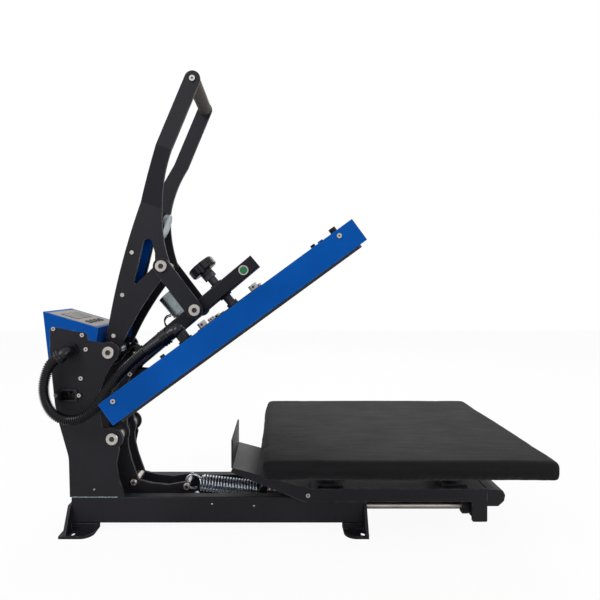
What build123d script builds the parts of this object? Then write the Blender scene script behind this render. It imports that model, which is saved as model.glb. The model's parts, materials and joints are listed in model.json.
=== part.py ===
"""Slide-out heat press with a magnetic auto-open arm.

Millimetres. +X runs forward, the way the drawer slides out, and +Z runs up from the table.
The origin lies on the table, midway along and across the press.
The arm is modelled open and the drawer slid out.
"""

import math
import os

from build123d import *

# Base frame
RAIL_REAR = -362.5
RAIL_LENGTH = 510.5
RAIL_WIDTH = 20.0
RAIL_HEIGHT = 45.0
RAIL_WALL = 2.5
GROUND_GAP = 15.0
BASE_HALF = 63.5
CROSS_BAR = 16.0
FOOT_THICK = 5.0
FOOT_REACH = 27.0
FOOT_LENGTH = 55.0
FOOT_CORNER = 20.0
FOOT_TAIL = 12.0
FOOT_FRONT_LENGTH = 40.0
GUSSET_HEIGHT = 42.0
SLOT_LENGTH = 18.0
SLOT_WIDTH = 8.0
SLOT_OUT = 15.0
FOOT_SLOT_X = 9.0

# Side plates and pivots, as heights over the rails and distances from the main hinge
PLATE_THICK = 5.0
HINGE_UP = 100.7
HINGE_X = -292.1
HINGE_RADIUS = 18.5
HANDLE_PIVOT_X = -298.7
HANDLE_PIVOT_RISE = 149.3
MAIN_SHAFT_RADIUS = 8.0
HANDLE_SHAFT_RADIUS = 7.0
RUNNING_GAP = 0.05
SIDE_GAP = 0.4
CAP_RADIUS = 10.5
CAP_THICK = 3.5
CAP_SOCKET = 5.2
CAP_EDGE = 0.8
SMALL_SCREW_RADIUS = 3.6
FOOT_SCREW_RADIUS = 1.6
SMALL_SCREW_HEIGHT = 2.2

# Linkage
LINK_PIN_X = -211.4
LINK_PIN_RISE = 299.4
BEAM_PIN_X = -152.5
BEAM_PIN_RISE = 221.7
LINK_PIN_RADIUS = 6.0
LINK_WIDTH = 30.0
LINK_THICK = 5.0
ARM_HALF = 40.0
ARM_THICK = 6.0
ARM_CLOSING = 42.0
HANDLE_CLOSING = 72.84

# Handle
GRIP_X = -150.8
GRIP_RISE = 616.8
GRIP_END_RADIUS = 13.7
GRIP_RADIUS = 12.5
GRIP_HALF = 81.5
JOGGLE_DIRECTION = 71.6
JOGGLE_START = 267.0
JOGGLE_END = 365.0
SHROUD_SHEET = 1.5
SHROUD_DEPTH = 20.5
ARMATURE_RADIUS = 24.0
ARMATURE_THICK = 8.0
ARMATURE_BAR = 24.0
MAGNET_AIR_GAP = 0.6
ARM_SCREWS = ((34.3, 174.7), (17.5, 99.3), (2.0, 27.0))

# Beam and swing levers
BEAM_SLOPE = 40.0
BEAM_HALF_WIDTH = 25.0
BEAM_HEIGHT = 25.5
BEAM_WALL = 2.5
BEAM_FRONT = 135.0
BEAM_REAR = -151.0
LEVER_THICK = 6.0
SPRING_PIN_X = 122.5
SPRING_PIN_DROP = 96.0
SPRING_PIN_RADIUS = 4.0
KNEE_X = 27.6
KNEE_DROP = 88.6
KNEE_RADIUS = 5.0
BOLT_HEAD_RADIUS = 6.0
BOLT_HEAD_HEIGHT = 5.0
MAGNET_RADIUS = 24.0
MAGNET_HEIGHT = 45.0
MAGNET_BACK = 21.0
MAGNET_FLANGE = 3.0
BUTTON_ALONG = 111.0
BUTTON_RADIUS = 6.4
BUTTON_TRAVEL = 2.0
WELL_DEPTH = 10.0
BEZEL_RADIUS = 8.9

# Pressure screw
SCREW_ALONG = 54.6
SCREW_RADIUS = 8.0
SCREW_TIP_BELOW = 36.0
KNOB_CENTRE_ABOVE = 53.5
KNOB_RADIUS = 26.0
KNOB_THICK = 18.0
FOOT_DISC_RADIUS = 11.0
FOOT_DISC_HEIGHT = 7.0

# Heat head
HEAD_SLOPE = 36.2
HEAD_LENGTH = 459.0
HEAD_HALF = 210.0
HEAD_HEIGHT = 37.5
HEAD_SHEET = 2.0
HEAD_REAR_X = -267.6
HEAD_REAR_RISE = 192.4
HEAD_PIN_ALONG = 4.0
HEAD_PIN_UP = 14.0
HEAD_PIN_RADIUS = 4.0
HEATER_THICK = 12.0
HEATER_PROUD = 4.5
HEATER_INSET = 10.0
INSULATION = 8.0
SCREW_WINDOW = 17.0
SEAT_FROM_PIN = 221.5
SEAT_RADIUS = 15.0
SEAT_HEIGHT = 7.6
ELBOW_ALONG = 137.0
ELBOW_Y = -100.0
STRAP_THICK = 3.0
STUD_RADIUS = 6.0
STUD_ROW = 108.0
RIB_ROWS = (-150.0, -75.0, 75.0, 150.0)
RIB_RISE = 6.0
LUG_INNER = 11.0
LUG_OUTER = 16.0

# Drawer
FLANK_THICK = 5.0
FLANK_GAP = 6.5
DECK_TOP_RISE = 18.7
DECK_SHEET = 3.0
DECK_REAR = -82.6
RAMP_RISE = 35.7
RAMP_FRONT = 52.0
UPRIGHT_HEIGHT = 46.0
FLANK_DEPTH = 22.4
LEG_WIDTH = 25.6
LEG_DROP = 56.4
DRAWER_TRAVEL = 172.0
STOP_GAP = 0.9
FRONT_PLATE_BACK = 6.0
ROD_RADIUS = 6.0
ROD_OUT = 34.0
ROD_Z = 34.0
BUSH_RADIUS = 9.0
BUSH_LENGTH = 24.0
BUMPER_RADIUS = 14.0
BUMPER_LENGTH = 12.0
PULL_DEPTH = 31.0
PULL_HEIGHT = 29.0
PULL_SHEET = 3.0
PULL_GAP = 1.5

# Lower platen
PAD_REAR = -29.0
PAD_LENGTH = 441.0
PAD_HALF = 200.0
PAD_TOP = 169.1
PAD_HEIGHT = 29.0
PLATEN_LOW = 146.6
PLATEN_THICK = 10.0
PLATEN_INSET = 7.0
SILICONE_THICK = 8.0
POST_RADIUS = 12.0

# Extension spring
SPRING_WIRE = 3.6
WIRE_SIDES = 8
SPRING_RADIUS = 13.0
SPRING_TURNS = 19
SPRING_PITCH = 5.4
SPRING_SLOPE = 6.8
LOOP_RADIUS = 12.6
HOOK_GAP = 4.0
HOOK_CLEARANCE = 0.1
ANCHOR_PIN = 3.0
ANCHOR_BOLT = 4.0

# Power conduit
CONDUIT_RADIUS = 8.6
CONDUIT_BORE = 6.0
RIB_DEPTH = 1.2
RIB_COUNT = 100

CUFF_LENGTH = 22.0
GLAND_REACH = 24.0
GLAND_TURN = (-0.82, 0.0, -0.57)
GLAND_NECK = 18.0
CONDUIT_START_RUN = 15.0
CONDUIT_END_RUN = 19.0
CABLE_RADIUS = 3.5
LEAD_RADIUS = 1.2
GLAND_ALONG = -132.0
CABLE_GLAND_REACH = 13.0
BUSH_OUTER = 12.0
BEZEL_NECK = 8.0

# Control box, mains inlet and switch
BOX_WALL = 1.5
BOX_REAR_RISE = 321.0
BOX_FRONT_RISE = 293.0
BOX_LOW_RISE = 215.0
PANEL_MARGIN = 7.0
GLAND_BORE = 8.0
INLET_X = -368.3
INLET_RISE = 176.6
INLET_PITCH = 40.0
INLET_WIDTH = 24.2
INLET_HEIGHT = 16.0
INLET_DEPTH = 16.0
INLET_FLANGE = 2.5
SWITCH_TILT = 7.0
SWITCH_PIVOT_DEPTH = 1.5
SWITCH_PIN = 1.3
SWITCH_PIN_REACH = 10.0

RAIL_FRONT = RAIL_REAR + RAIL_LENGTH
RAIL_TOP = GROUND_GAP + RAIL_HEIGHT
RAIL_INNER = BASE_HALF - RAIL_WIDTH
PLATE_INNER = BASE_HALF - PLATE_THICK
HINGE = (HINGE_X, RAIL_TOP + HINGE_UP)
HANDLE_PIVOT = (HANDLE_PIVOT_X, HINGE[1] + HANDLE_PIVOT_RISE)
LINK_PIN = (LINK_PIN_X, HINGE[1] + LINK_PIN_RISE)
BEAM_PIN = (BEAM_PIN_X, HINGE[1] + BEAM_PIN_RISE)
GRIP = (GRIP_X, HINGE[1] + GRIP_RISE)
SPRING_PIN = (HINGE[0] + SPRING_PIN_X, HINGE[1] - SPRING_PIN_DROP)
KNEE = (HINGE[0] + KNEE_X, HINGE[1] - KNEE_DROP)
ARM_INNER = ARM_HALF - ARM_THICK
LINK_INNER = ARM_HALF + 1.0
LINK_OUTER = LINK_INNER + LINK_THICK
LEVER_INNER = BEAM_HALF_WIDTH - LEVER_THICK
BEAM_HALF_HEIGHT = BEAM_HEIGHT / 2
HEAD_CORNER = (HEAD_REAR_X, RAIL_TOP + HEAD_REAR_RISE)
FLANK_FRONT = RAIL_FRONT + DRAWER_TRAVEL + STOP_GAP + BUMPER_LENGTH + LEG_WIDTH - FRONT_PLATE_BACK
DECK_FRONT = FLANK_FRONT - 2.0
FLANK_INNER = BASE_HALF + FLANK_GAP
FLANK_OUTER = FLANK_INNER + FLANK_THICK
DECK_TOP = RAIL_TOP + DECK_TOP_RISE
FOOT_OUTER = BASE_HALF + FOOT_REACH
INLET = (INLET_X, RAIL_TOP + INLET_RISE)
LEVER_STOP = (HINGE[0] + 142.7, RAIL_TOP - 5.0)
PLATE_SCREWS = [
    (HINGE[0] - 101.4, RAIL_TOP + 291.2),
    (HINGE[0] - 51.7, RAIL_TOP + 280.5),
    (HINGE[0] - 45.2, RAIL_TOP + 255.9),
    (HINGE[0] - 54.0, RAIL_TOP + 205.6),
    (HINGE[0] - 30.4, RAIL_TOP + 14.0),
]
GLAND = (HINGE[0] - 69.6, RAIL_TOP + 254.0)
BOX_TOP_REAR = (HINGE[0] - 119.9, RAIL_TOP + BOX_REAR_RISE)
BOX_TOP_FRONT = (HINGE[0] - 24.6, RAIL_TOP + BOX_FRONT_RISE)
BOX_FRONT_WALL = BOX_TOP_FRONT[0] - 27.0
TOP_LENGTH = math.dist(BOX_TOP_REAR, BOX_TOP_FRONT)
TOP_PLANE = Plane(
    origin=((BOX_TOP_REAR[0] + BOX_TOP_FRONT[0]) / 2, 0, (BOX_TOP_REAR[1] + BOX_TOP_FRONT[1]) / 2),
    x_dir=(BOX_TOP_FRONT[0] - BOX_TOP_REAR[0], 0, BOX_TOP_FRONT[1] - BOX_TOP_REAR[1]),
    z_dir=(BOX_TOP_REAR[1] - BOX_TOP_FRONT[1], 0, BOX_TOP_FRONT[0] - BOX_TOP_REAR[0]),
)


def turned(vector, degrees):
    """A vector (x, z) turned up from +X towards +Z."""
    angle = math.radians(degrees)
    x, z = vector
    return (x * math.cos(angle) - z * math.sin(angle), x * math.sin(angle) + z * math.cos(angle))


def moved(point, vector):
    return (point[0] + vector[0], point[1] + vector[1])


def about(point, centre, degrees):
    """A point (x, z) turned about a centre."""
    return moved(centre, turned((point[0] - centre[0], point[1] - centre[1]), degrees))


def on_beam(along, up):
    """A point given along the beam from its link pin and up from its axis."""
    return moved(BEAM_PIN, turned((along, up), BEAM_SLOPE))


def on_head(along, up):
    """A point given along the head from its upper rear corner and up from its top."""
    return moved(HEAD_CORNER, turned((along, up), HEAD_SLOPE))


def along_spring(start, length):
    """A point further along the extension spring's axis."""
    return moved(start, turned((length, 0), -SPRING_SLOPE))


LOOP_INSIDE = LOOP_RADIUS - SPRING_WIRE / 2 - HOOK_CLEARANCE
HOOK_LENGTH = LOOP_RADIUS + HOOK_GAP
COIL_START = along_spring(SPRING_PIN, LOOP_INSIDE - SPRING_PIN_RADIUS + HOOK_LENGTH)
COIL_END = along_spring(COIL_START, SPRING_TURNS * SPRING_PITCH)
ANCHOR = along_spring(COIL_END, HOOK_LENGTH + LOOP_INSIDE - ANCHOR_PIN)
SEAT_ALONG = SEAT_FROM_PIN + HEAD_PIN_ALONG
STUDS = [(a, side * STUD_ROW) for a in (60.0, 176.0, 280.0, HEAD_LENGTH - 59.0) for side in (-1, 1)]
NUT_PLACES = [
    (along, side * across, radius, height)
    for side in (-1, 1)
    for along, across, radius, height in (
        (176.0, STUD_ROW, 7.5, 9.0), (190.0, 86.0, 6.0, 6.0), (280.0, STUD_ROW, 7.5, 9.0),
    )
]
TOP_SCREWS = [(12.0, 150.0, 5.0, 7.0), (103.0, 150.0, 4.0, 5.0), (HEAD_LENGTH - 64.0, 150.0, 4.0, 5.0),
              (HEAD_LENGTH - 20.0, 120.0, 6.0, 9.0)]
HEAD_PIN = on_head(HEAD_PIN_ALONG, HEAD_PIN_UP)
HEAD_PLACE = Location((HEAD_CORNER[0], 0, HEAD_CORNER[1]), (0, -HEAD_SLOPE, 0))
BEAM_PLACE = Location((BEAM_PIN[0], 0, BEAM_PIN[1]), (0, -BEAM_SLOPE, 0))


def slab(face, near, far):
    """A face drawn in X and Z, extruded from y = near to y = far."""
    return extrude(Plane.XZ.offset(-far) * face, amount=far - near)


def disc(centre, radius, near, far):
    return slab(Pos(*centre) * Circle(radius), near, far)


def ring(centre, outer, inner, near, far):
    return disc(centre, outer, near, far) - disc(centre, inner, near - 1, far + 1)


def block(x0, x1, y0, y1, z0, z1):
    size = (x1 - x0, y1 - y0, z1 - z0)
    return Pos((x0 + x1) / 2, (y0 + y1) / 2, (z0 + z1) / 2) * Box(*size)


def pair(shape):
    """A piece and its twin on the other side."""
    return [shape, mirror(shape, Plane.XZ)]


def outline(points, radii=None):
    """A closed outline in X and Z, with corners rounded by the radii given by index."""
    face = make_face(Polyline(*points, close=True))
    for index, radius in (radii or {}).items():
        corner = face.vertices().sort_by_distance((points[index][0], points[index][1], 0))[0]
        face = fillet(corner, radius)
    return face


def round_bar(start, end, radius):
    """A round bar between two points in space."""
    line = Line(start, end)
    return extrude(Plane(start, z_dir=line % 0) * Circle(radius), amount=line.length)


PARTS = {}


def keep(name, *shapes):
    solids = [solid for shape in shapes for solid in shape.solids()]
    PARTS[name] = Compound(solids)


def socket_head(centre, seat):
    """A round head with a hexagon socket, seated at y = seat on the near side."""
    head = disc(centre, CAP_RADIUS, seat - CAP_THICK, seat)
    head = chamfer(head.faces().sort_by(Axis.Y)[0].edges(), CAP_EDGE)
    socket = Pos(*centre) * RegularPolygon(CAP_SOCKET, 6)
    return head - slab(socket, seat - CAP_THICK - 1, seat - CAP_THICK / 4)


def capped_shaft(centre, radius, half):
    """A cross shaft with a socket head at each end."""
    return disc(centre, radius, -half, half).fuse(*pair(socket_head(centre, -half)))


def side_plate_face():
    """Upright side plate: a tab behind the control box, a nose at each pivot, a foot on the rail."""
    top = RAIL_TOP
    ax, az = HANDLE_PIVOT
    hx, hz = HINGE
    points = [
        (hx - 107.8, top + 295.2),
        (hx - 43.2, top + 283.6),
        (hx - 41.9, top + 272.2),
        (ax - 6.5, az + 15.1),
        (ax + 9.2, az - 16.6),
        (hx - 13.1, top + 207.8),
        (hx - 23.2, top + 176.0),
        (hx - 21.6, top + 152.1),
        (hx - 16.6, hz + 18.7),
        (hx + 2.3, hz + 18.7),
        (hx + 12.1, hz - 20.0),
        (hx + 7.1, top + 56.8),
        (hx + 12.1, top + 29.0),
        (hx + 22.2, top),
        (hx - 73.3, top),
        (hx - 75.2, top + 68.7),
        (hx - 92.2, top + 128.2),
        (hx - 98.9, top + 159.4),
        (hx - 107.8, top + 240.7),
    ]
    rounds = {0: 6.0, 1: 5.0, 6: 30.0, 8: 6.0, 11: 40.0, 15: 60.0, 16: 60.0, 18: 40.0}
    face = outline(points, rounds)
    face += Pos(ax, az) * Circle(HINGE_RADIUS)
    return face + Pos(hx, hz) * Circle(HINGE_RADIUS)


def base_frame():
    """Two rails, three cross pieces and four gusseted feet."""
    for name, side in (("rail_near", -1), ("rail_far", 1)):
        y_mid = side * (BASE_HALF - RAIL_WIDTH / 2)
        bar = Pos((RAIL_REAR + RAIL_FRONT) / 2, y_mid, GROUND_GAP + RAIL_HEIGHT / 2)
        section = Box(RAIL_LENGTH, RAIL_WIDTH, RAIL_HEIGHT)
        edges = section.edges().filter_by(Axis.X)
        tube = bar * fillet(edges, RAIL_WALL)
        hollow = Box(RAIL_LENGTH + 2, RAIL_WIDTH - 2 * RAIL_WALL, RAIL_HEIGHT - 2 * RAIL_WALL)
        keep(name, tube - bar * hollow)
    rear = (RAIL_REAR, RAIL_REAR + CROSS_BAR)
    keep("rear_cross_bar", block(*rear, -RAIL_INNER, RAIL_INNER, GROUND_GAP, RAIL_TOP - 5))
    front = block(RAIL_FRONT - BUSH_LENGTH, RAIL_FRONT, -RAIL_INNER, RAIL_INNER, GROUND_GAP, RAIL_TOP - 2)
    middle = block(5, 5 + BUSH_LENGTH, -RAIL_INNER, RAIL_INNER, GROUND_GAP, RAIL_TOP - 4)
    for side in (-1, 1):
        start = (-40, side * ROD_OUT, ROD_Z)
        bore = round_bar(start, (RAIL_FRONT + 5, side * ROD_OUT, ROD_Z), BUSH_RADIUS)
        front -= bore
        middle -= bore
    anchor_bore = round_bar((-20, 0, ANCHOR[1]), (40, 0, ANCHOR[1]), ANCHOR_BOLT)
    keep("bearing_blocks", front, middle - anchor_bore)
    bushes = []
    for x0 in (RAIL_FRONT - BUSH_LENGTH, 5):
        for side in (-1, 1):
            ends = (x0, side * ROD_OUT, ROD_Z), (x0 + BUSH_LENGTH, side * ROD_OUT, ROD_Z)
            bushes.append(round_bar(*ends, BUSH_RADIUS) - round_bar(*ends, ROD_RADIUS + RUNNING_GAP))
    keep("rod_bushes", *bushes)


def foot(x_rear, x_front, wing_x, full_gusset):
    """A slotted foot flange under one rail, with a riser and an upright gusset."""
    y0, y1 = RAIL_INNER, FOOT_OUTER
    plan = make_face(Polyline((x_rear, y0), (x_front, y0), (x_front, y1), (x_rear, y1), close=True))
    corner = (x_front, y1) if full_gusset else (x_rear, y1)
    plan = fillet(plan.vertices().sort_by_distance((*corner, 0))[0], FOOT_CORNER)
    slot_x = wing_x + FOOT_SLOT_X if full_gusset else wing_x - FOOT_SLOT_X
    slot_y = BASE_HALF + SLOT_OUT
    plan -= Pos(slot_x, slot_y) * Rot(0, 0, 90) * SlotOverall(SLOT_LENGTH, SLOT_WIDTH)
    flange = extrude(plan, amount=FOOT_THICK)
    riser = block(max(x_rear, RAIL_REAR), min(x_front, RAIL_FRONT), y0, BASE_HALF, FOOT_THICK, GROUND_GAP)
    inner = y0 if full_gusset else BASE_HALF
    wing = [(inner, FOOT_THICK), (y1, FOOT_THICK), (BASE_HALF + 3, FOOT_THICK + GUSSET_HEIGHT)]
    wing.append((inner, FOOT_THICK + GUSSET_HEIGHT))
    wing_face = Plane.YZ.offset(wing_x - FOOT_THICK) * make_face(Polyline(*wing, close=True))
    return flange + riser + extrude(wing_face, amount=FOOT_THICK)


def feet():
    rear = foot(RAIL_REAR - FOOT_TAIL, RAIL_REAR - FOOT_TAIL + FOOT_LENGTH, RAIL_REAR, True)
    front = foot(RAIL_FRONT - FOOT_FRONT_LENGTH, RAIL_FRONT, RAIL_FRONT, False)
    keep("feet", *pair(rear), *pair(front))


def side_plates():
    face = side_plate_face()
    body = slab(face, -BASE_HALF, -PLATE_INNER)
    body -= disc(HINGE, MAIN_SHAFT_RADIUS, -BASE_HALF - 1, 0)
    body -= disc(HANDLE_PIVOT, HANDLE_SHAFT_RADIUS, -BASE_HALF - 1, 0)
    far = mirror(body, Plane.XZ)
    window = Pos(*INLET) * Rectangle(INLET_WIDTH + 4, INLET_HEIGHT + 4)
    near = body - slab(window, -BASE_HALF - 1, 0) - disc(GLAND, GLAND_BORE, -BASE_HALF - 1, 0)
    far -= slab(Pos(*INLET) * Rectangle(28, 22), 0, BASE_HALF + 1)
    keep("side_plate_near", near)
    keep("side_plate_far", far)
    heads = []
    for centre in PLATE_SCREWS:
        radius = FOOT_SCREW_RADIUS if centre == PLATE_SCREWS[-1] else SMALL_SCREW_RADIUS
        heads += pair(disc(centre, radius, -BASE_HALF - SMALL_SCREW_HEIGHT, -BASE_HALF))
    for side in (-1, 1):
        centre = (INLET[0] + side * INLET_PITCH / 2, INLET[1])
        heads.append(disc(centre, 3.2, -BASE_HALF - 4.5, -BASE_HALF - INLET_FLANGE))
    stop = disc(LEVER_STOP, 5.0, -RAIL_INNER, -RAIL_INNER + 9.0)
    keep("plate_screws", *heads, *pair(chamfer(stop.faces().sort_by(Axis.Y)[-1].edges(), 1.5)))


def pivots():
    """Shafts held by the side plates, their spacers and their big end caps."""
    shafts = [
        capped_shaft(HINGE, MAIN_SHAFT_RADIUS, BASE_HALF),
        capped_shaft(HANDLE_PIVOT, HANDLE_SHAFT_RADIUS, BASE_HALF),
    ]
    spacers = []
    spacers += pair(ring(HINGE, 13.0, MAIN_SHAFT_RADIUS, -PLATE_INNER, -BEAM_HALF_WIDTH - SIDE_GAP))
    spacers += pair(ring(HANDLE_PIVOT, 12.0, HANDLE_SHAFT_RADIUS, -PLATE_INNER, -ARM_HALF - SIDE_GAP))
    keep("pivot_shafts", *shafts, *spacers)


def control_box():
    """Folded sheet box between the side plates, its sides let in for the plates' tabs."""
    points = [
        BOX_TOP_REAR,
        BOX_TOP_FRONT,
        (BOX_TOP_FRONT[0] - 2.9, RAIL_TOP + 266.0),
        (BOX_FRONT_WALL, RAIL_TOP + 250.0),
        (BOX_FRONT_WALL, RAIL_TOP + BOX_LOW_RISE),
        (BOX_TOP_REAR[0] + 12.2, RAIL_TOP + BOX_LOW_RISE),
    ]
    face = outline(points)
    inner = offset(face, -BOX_WALL)
    shell = slab(face, -BASE_HALF, BASE_HALF)
    shell -= slab(inner, -PLATE_INNER + BOX_WALL, PLATE_INNER - BOX_WALL)
    plate = side_plate_face()
    for near, far in ((-BASE_HALF - 1, -PLATE_INNER), (PLATE_INNER, BASE_HALF + 1)):
        shell -= slab(plate, near, far)
    window = TOP_PLANE * Rectangle(TOP_LENGTH - 2 * PANEL_MARGIN, 2 * (BASE_HALF - PANEL_MARGIN) + 2)
    shell -= extrude(window, amount=-BOX_WALL - 0.5)
    shell -= disc(GLAND, GLAND_BORE, -PLATE_INNER - 1, 0)
    keep("control_box", max(shell.solids(), key=lambda solid: solid.volume))
    keep("control_panel", extrude(window, amount=-BOX_WALL))


def mains_inlet():
    """Three-pin inlet in the near side plate, screwed at its two ears."""
    x, z = INLET
    face = Pos(x, z) * RectangleRounded(INLET_WIDTH + 8, INLET_HEIGHT + 6, 3)
    ear_line = Line((x - INLET_PITCH / 2, z), (x + INLET_PITCH / 2, z))
    ears = make_hull([Circle(4.5).locate(Pos(*(ear_line @ t))).edge() for t in (0, 1)])
    flange = slab(face + ears, -BASE_HALF - INLET_FLANGE, -BASE_HALF)
    shell = Pos(x, z) * Rectangle(INLET_WIDTH + 4, INLET_HEIGHT + 4)
    body = slab(shell, -BASE_HALF, -BASE_HALF + INLET_DEPTH + 6)
    mouth = Pos(x, z) * Rectangle(INLET_WIDTH, INLET_HEIGHT)
    mouth = chamfer(mouth.vertices().group_by(Axis.Y)[-1], 3.5)
    socket = slab(mouth, -BASE_HALF - 3, -BASE_HALF - 2.5 + INLET_DEPTH)
    for side in (-1, 1):
        flange -= disc((x + side * INLET_PITCH / 2, z), 1.7, -BASE_HALF - 4, -BASE_HALF + 1)
    pins = []
    for dx, dz in ((-7, -2.5), (0, 2.0), (7, -2.5)):
        pin = Pos(x + dx, z + dz) * Rectangle(2, 4)
        pins.append(slab(pin, -BASE_HALF + 4.0, -BASE_HALF - 2.5 + INLET_DEPTH))
    keep("mains_inlet", flange + body - socket, *pins)


def power_switch():
    """Rocker switch in the far side plate; the rocker turns on two round pins in the housing."""
    x, z = INLET
    pivot = Pos(x, BASE_HALF - SWITCH_PIVOT_DEPTH, z)
    bezel = slab(Pos(x, z) * Rectangle(33, 26), BASE_HALF, BASE_HALF + 2)
    body = slab(Pos(x, z) * Rectangle(28, 22), PLATE_INNER - 14, BASE_HALF)
    well = slab(Pos(x, z) * Rectangle(23.0, 17.0), BASE_HALF - 7, BASE_HALF + 3)
    pin_bore = pivot * Cylinder(SWITCH_PIN + RUNNING_GAP, 2 * SWITCH_PIN_REACH + 0.4)
    keep("switch_housing", bezel + body - well - pin_bore)
    half = 11.0
    profile = [(-half, -1.0), (0, -4.5), (half, -1.0), (half, 3.2), (0, 1.6), (-half, 3.2)]
    rocker = extrude(Plane.XY.offset(-8.0) * make_face(Polyline(*profile, close=True)), amount=16.0)
    rocker += Cylinder(SWITCH_PIN, 2 * SWITCH_PIN_REACH)
    keep("switch_rocker", pivot * Rot(0, 0, -SWITCH_TILT) * rocker)


def arm_face():
    """Handle arm: one long curved blade that forks to a lug at the link pin, with a leaf window."""
    ax, az = HANDLE_PIVOT
    bx, bz = LINK_PIN
    rear, top, front = [moved(GRIP, turned((GRIP_END_RADIUS, 0), turn)) for turn in (156.8, 66.8, -23.2)]
    left = [
        ThreePointArc((ax - 13.3, az + 8.0), (ax + 22.4, az + 178.0), (ax + 86.6, az + 356.8)),
        Line((ax + 86.6, az + 356.8), rear),
    ]
    tip = ThreePointArc(rear, top, front)
    right = [
        Line(front, (ax + 114.2, az + 350.4)),
        ThreePointArc((ax + 114.2, az + 350.4), (ax + 87.4, az + 245.0), (bx + 13.6, bz + 6.3)),
        ThreePointArc((bx + 13.6, bz + 6.3), (bx + 14.0, bz - 5.4), (bx + 8.2, bz - 12.6)),
        ThreePointArc((bx + 8.2, bz - 12.6), (ax + 48.0, az + 71.5), (ax + 13.5, az + 4.0)),
        ThreePointArc((ax + 13.5, az + 4.0), (ax - 1.0, az - 14.0), (ax - 13.3, az + 8.0)),
    ]
    face = make_face(left + [tip] + right)
    corners = ((56.0, 200.0), (35.2, 112.0), (75.2, 152.0), (75.0, 174.0), (68.5, 198.0))
    window = outline(
        [(ax + x, az + z) for x, z in corners],
        {0: 5.5, 1: 3.0, 2: 3.5, 3: 12.0, 4: 5.0},
    )
    return face - window


def arm_bend():
    """The joggled strip that the near arm is cut from, seen along its bend lines."""
    outer, grip = ARM_HALF, GRIP_HALF
    start, end = -1.5 * ARM_HALF, 1.5 * JOGGLE_END
    path = [(start, -outer), (JOGGLE_START, -outer), (JOGGLE_END, -grip), (end, -grip)]
    back = [(a, y + ARM_THICK) for a, y in reversed(path)]
    section = make_face(Polyline(*path, *back, close=True))
    direction = turned((1, 0), JOGGLE_DIRECTION)
    plane = Plane(
        origin=(HANDLE_PIVOT[0], 0, HANDLE_PIVOT[1]),
        x_dir=(direction[0], 0, direction[1]),
        z_dir=(-direction[1], 0, direction[0]),
    )
    strip = plane * section
    return extrude(strip, amount=200, both=True)


def armature_centre():
    """Contact face of the armature, where it meets the magnet with the arm closed."""
    magnet_top = on_beam(-MAGNET_BACK, BEAM_HALF_HEIGHT + MAGNET_HEIGHT + MAGNET_AIR_GAP)
    closed = about(magnet_top, HINGE, -ARM_CLOSING)
    return about(closed, HANDLE_PIVOT, HANDLE_CLOSING)


ARMATURE = armature_centre()
ARMATURE_SLOPE = BEAM_SLOPE - ARM_CLOSING + HANDLE_CLOSING


def handle():
    strip = arm_bend()
    arm = slab(arm_face(), -GRIP_HALF - 1, 0) & strip
    arm -= disc(HANDLE_PIVOT, HANDLE_SHAFT_RADIUS + RUNNING_GAP, -GRIP_HALF - 2, 0)
    arm -= disc(LINK_PIN, LINK_PIN_RADIUS, -GRIP_HALF - 2, 0)
    keep("handle_arm_near", arm)
    keep("handle_arm_far", mirror(arm, Plane.XZ))
    grip_inner = GRIP_HALF - ARM_THICK
    keep("hand_grip", ring(GRIP, GRIP_RADIUS, 8.0, -grip_inner, grip_inner))
    shaft = capped_shaft(LINK_PIN, LINK_PIN_RADIUS, LINK_OUTER + SIDE_GAP)
    keep("link_shaft", shaft, ring(LINK_PIN, 9.0, LINK_PIN_RADIUS, -ARM_INNER, ARM_INNER))
    ax, az = HANDLE_PIVOT
    screws = pair(disc(GRIP, 5.0, -GRIP_HALF - 2.5, -GRIP_HALF))
    for dx, dz in ARM_SCREWS:
        centre = (ax + dx, az + dz)
        screws += pair(disc(centre, SMALL_SCREW_RADIUS, -ARM_HALF - SMALL_SCREW_HEIGHT, -ARM_HALF))
    keep("handle_screws", *screws)


def shroud_band(rear, front):
    """A band between the arms that follows their rear edge at the given distances from it."""
    ax, az = HANDLE_PIVOT
    base, middle, top = (-8.5, 22.0), (16.0, 142.0), (46.5, 246.0)

    def edge(distance):
        return [(ax + x + distance, az + z - distance * 0.25) for x, z in (base, middle, top)]

    back, face = edge(rear), edge(front)
    return make_face(
        [
            ThreePointArc(*back),
            Line(back[2], face[2]),
            ThreePointArc(*reversed(face)),
            Line(face[0], back[0]),
        ]
    )


def handle_shroud():
    """Blue U-shaped sheet between the arms, its flanges against their inner faces."""
    outer = slab(shroud_band(0.0, SHROUD_DEPTH), -ARM_INNER, ARM_INNER)
    inner_half = ARM_INNER - SHROUD_SHEET
    inner = slab(shroud_band(SHROUD_SHEET, SHROUD_DEPTH + 60), -inner_half, inner_half)
    keep("handle_shroud", outer - inner)


def armature():
    """Steel disc on a flat bar between the arms; it meets the magnet when the arm is down."""
    place = Location((ARMATURE[0], 0, ARMATURE[1]), (0, -ARMATURE_SLOPE, 0))
    plate = Pos(0, 0, ARMATURE_THICK / 2) * Cylinder(ARMATURE_RADIUS, ARMATURE_THICK)
    plate = chamfer(plate.edges().filter_by(GeomType.CIRCLE), 0.8)
    bar = Pos(0, 0, ARMATURE_THICK + 2.5) * Box(ARMATURE_BAR, 2 * ARM_INNER, 5.0)
    keep("armature", place * plate, place * bar)


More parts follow.
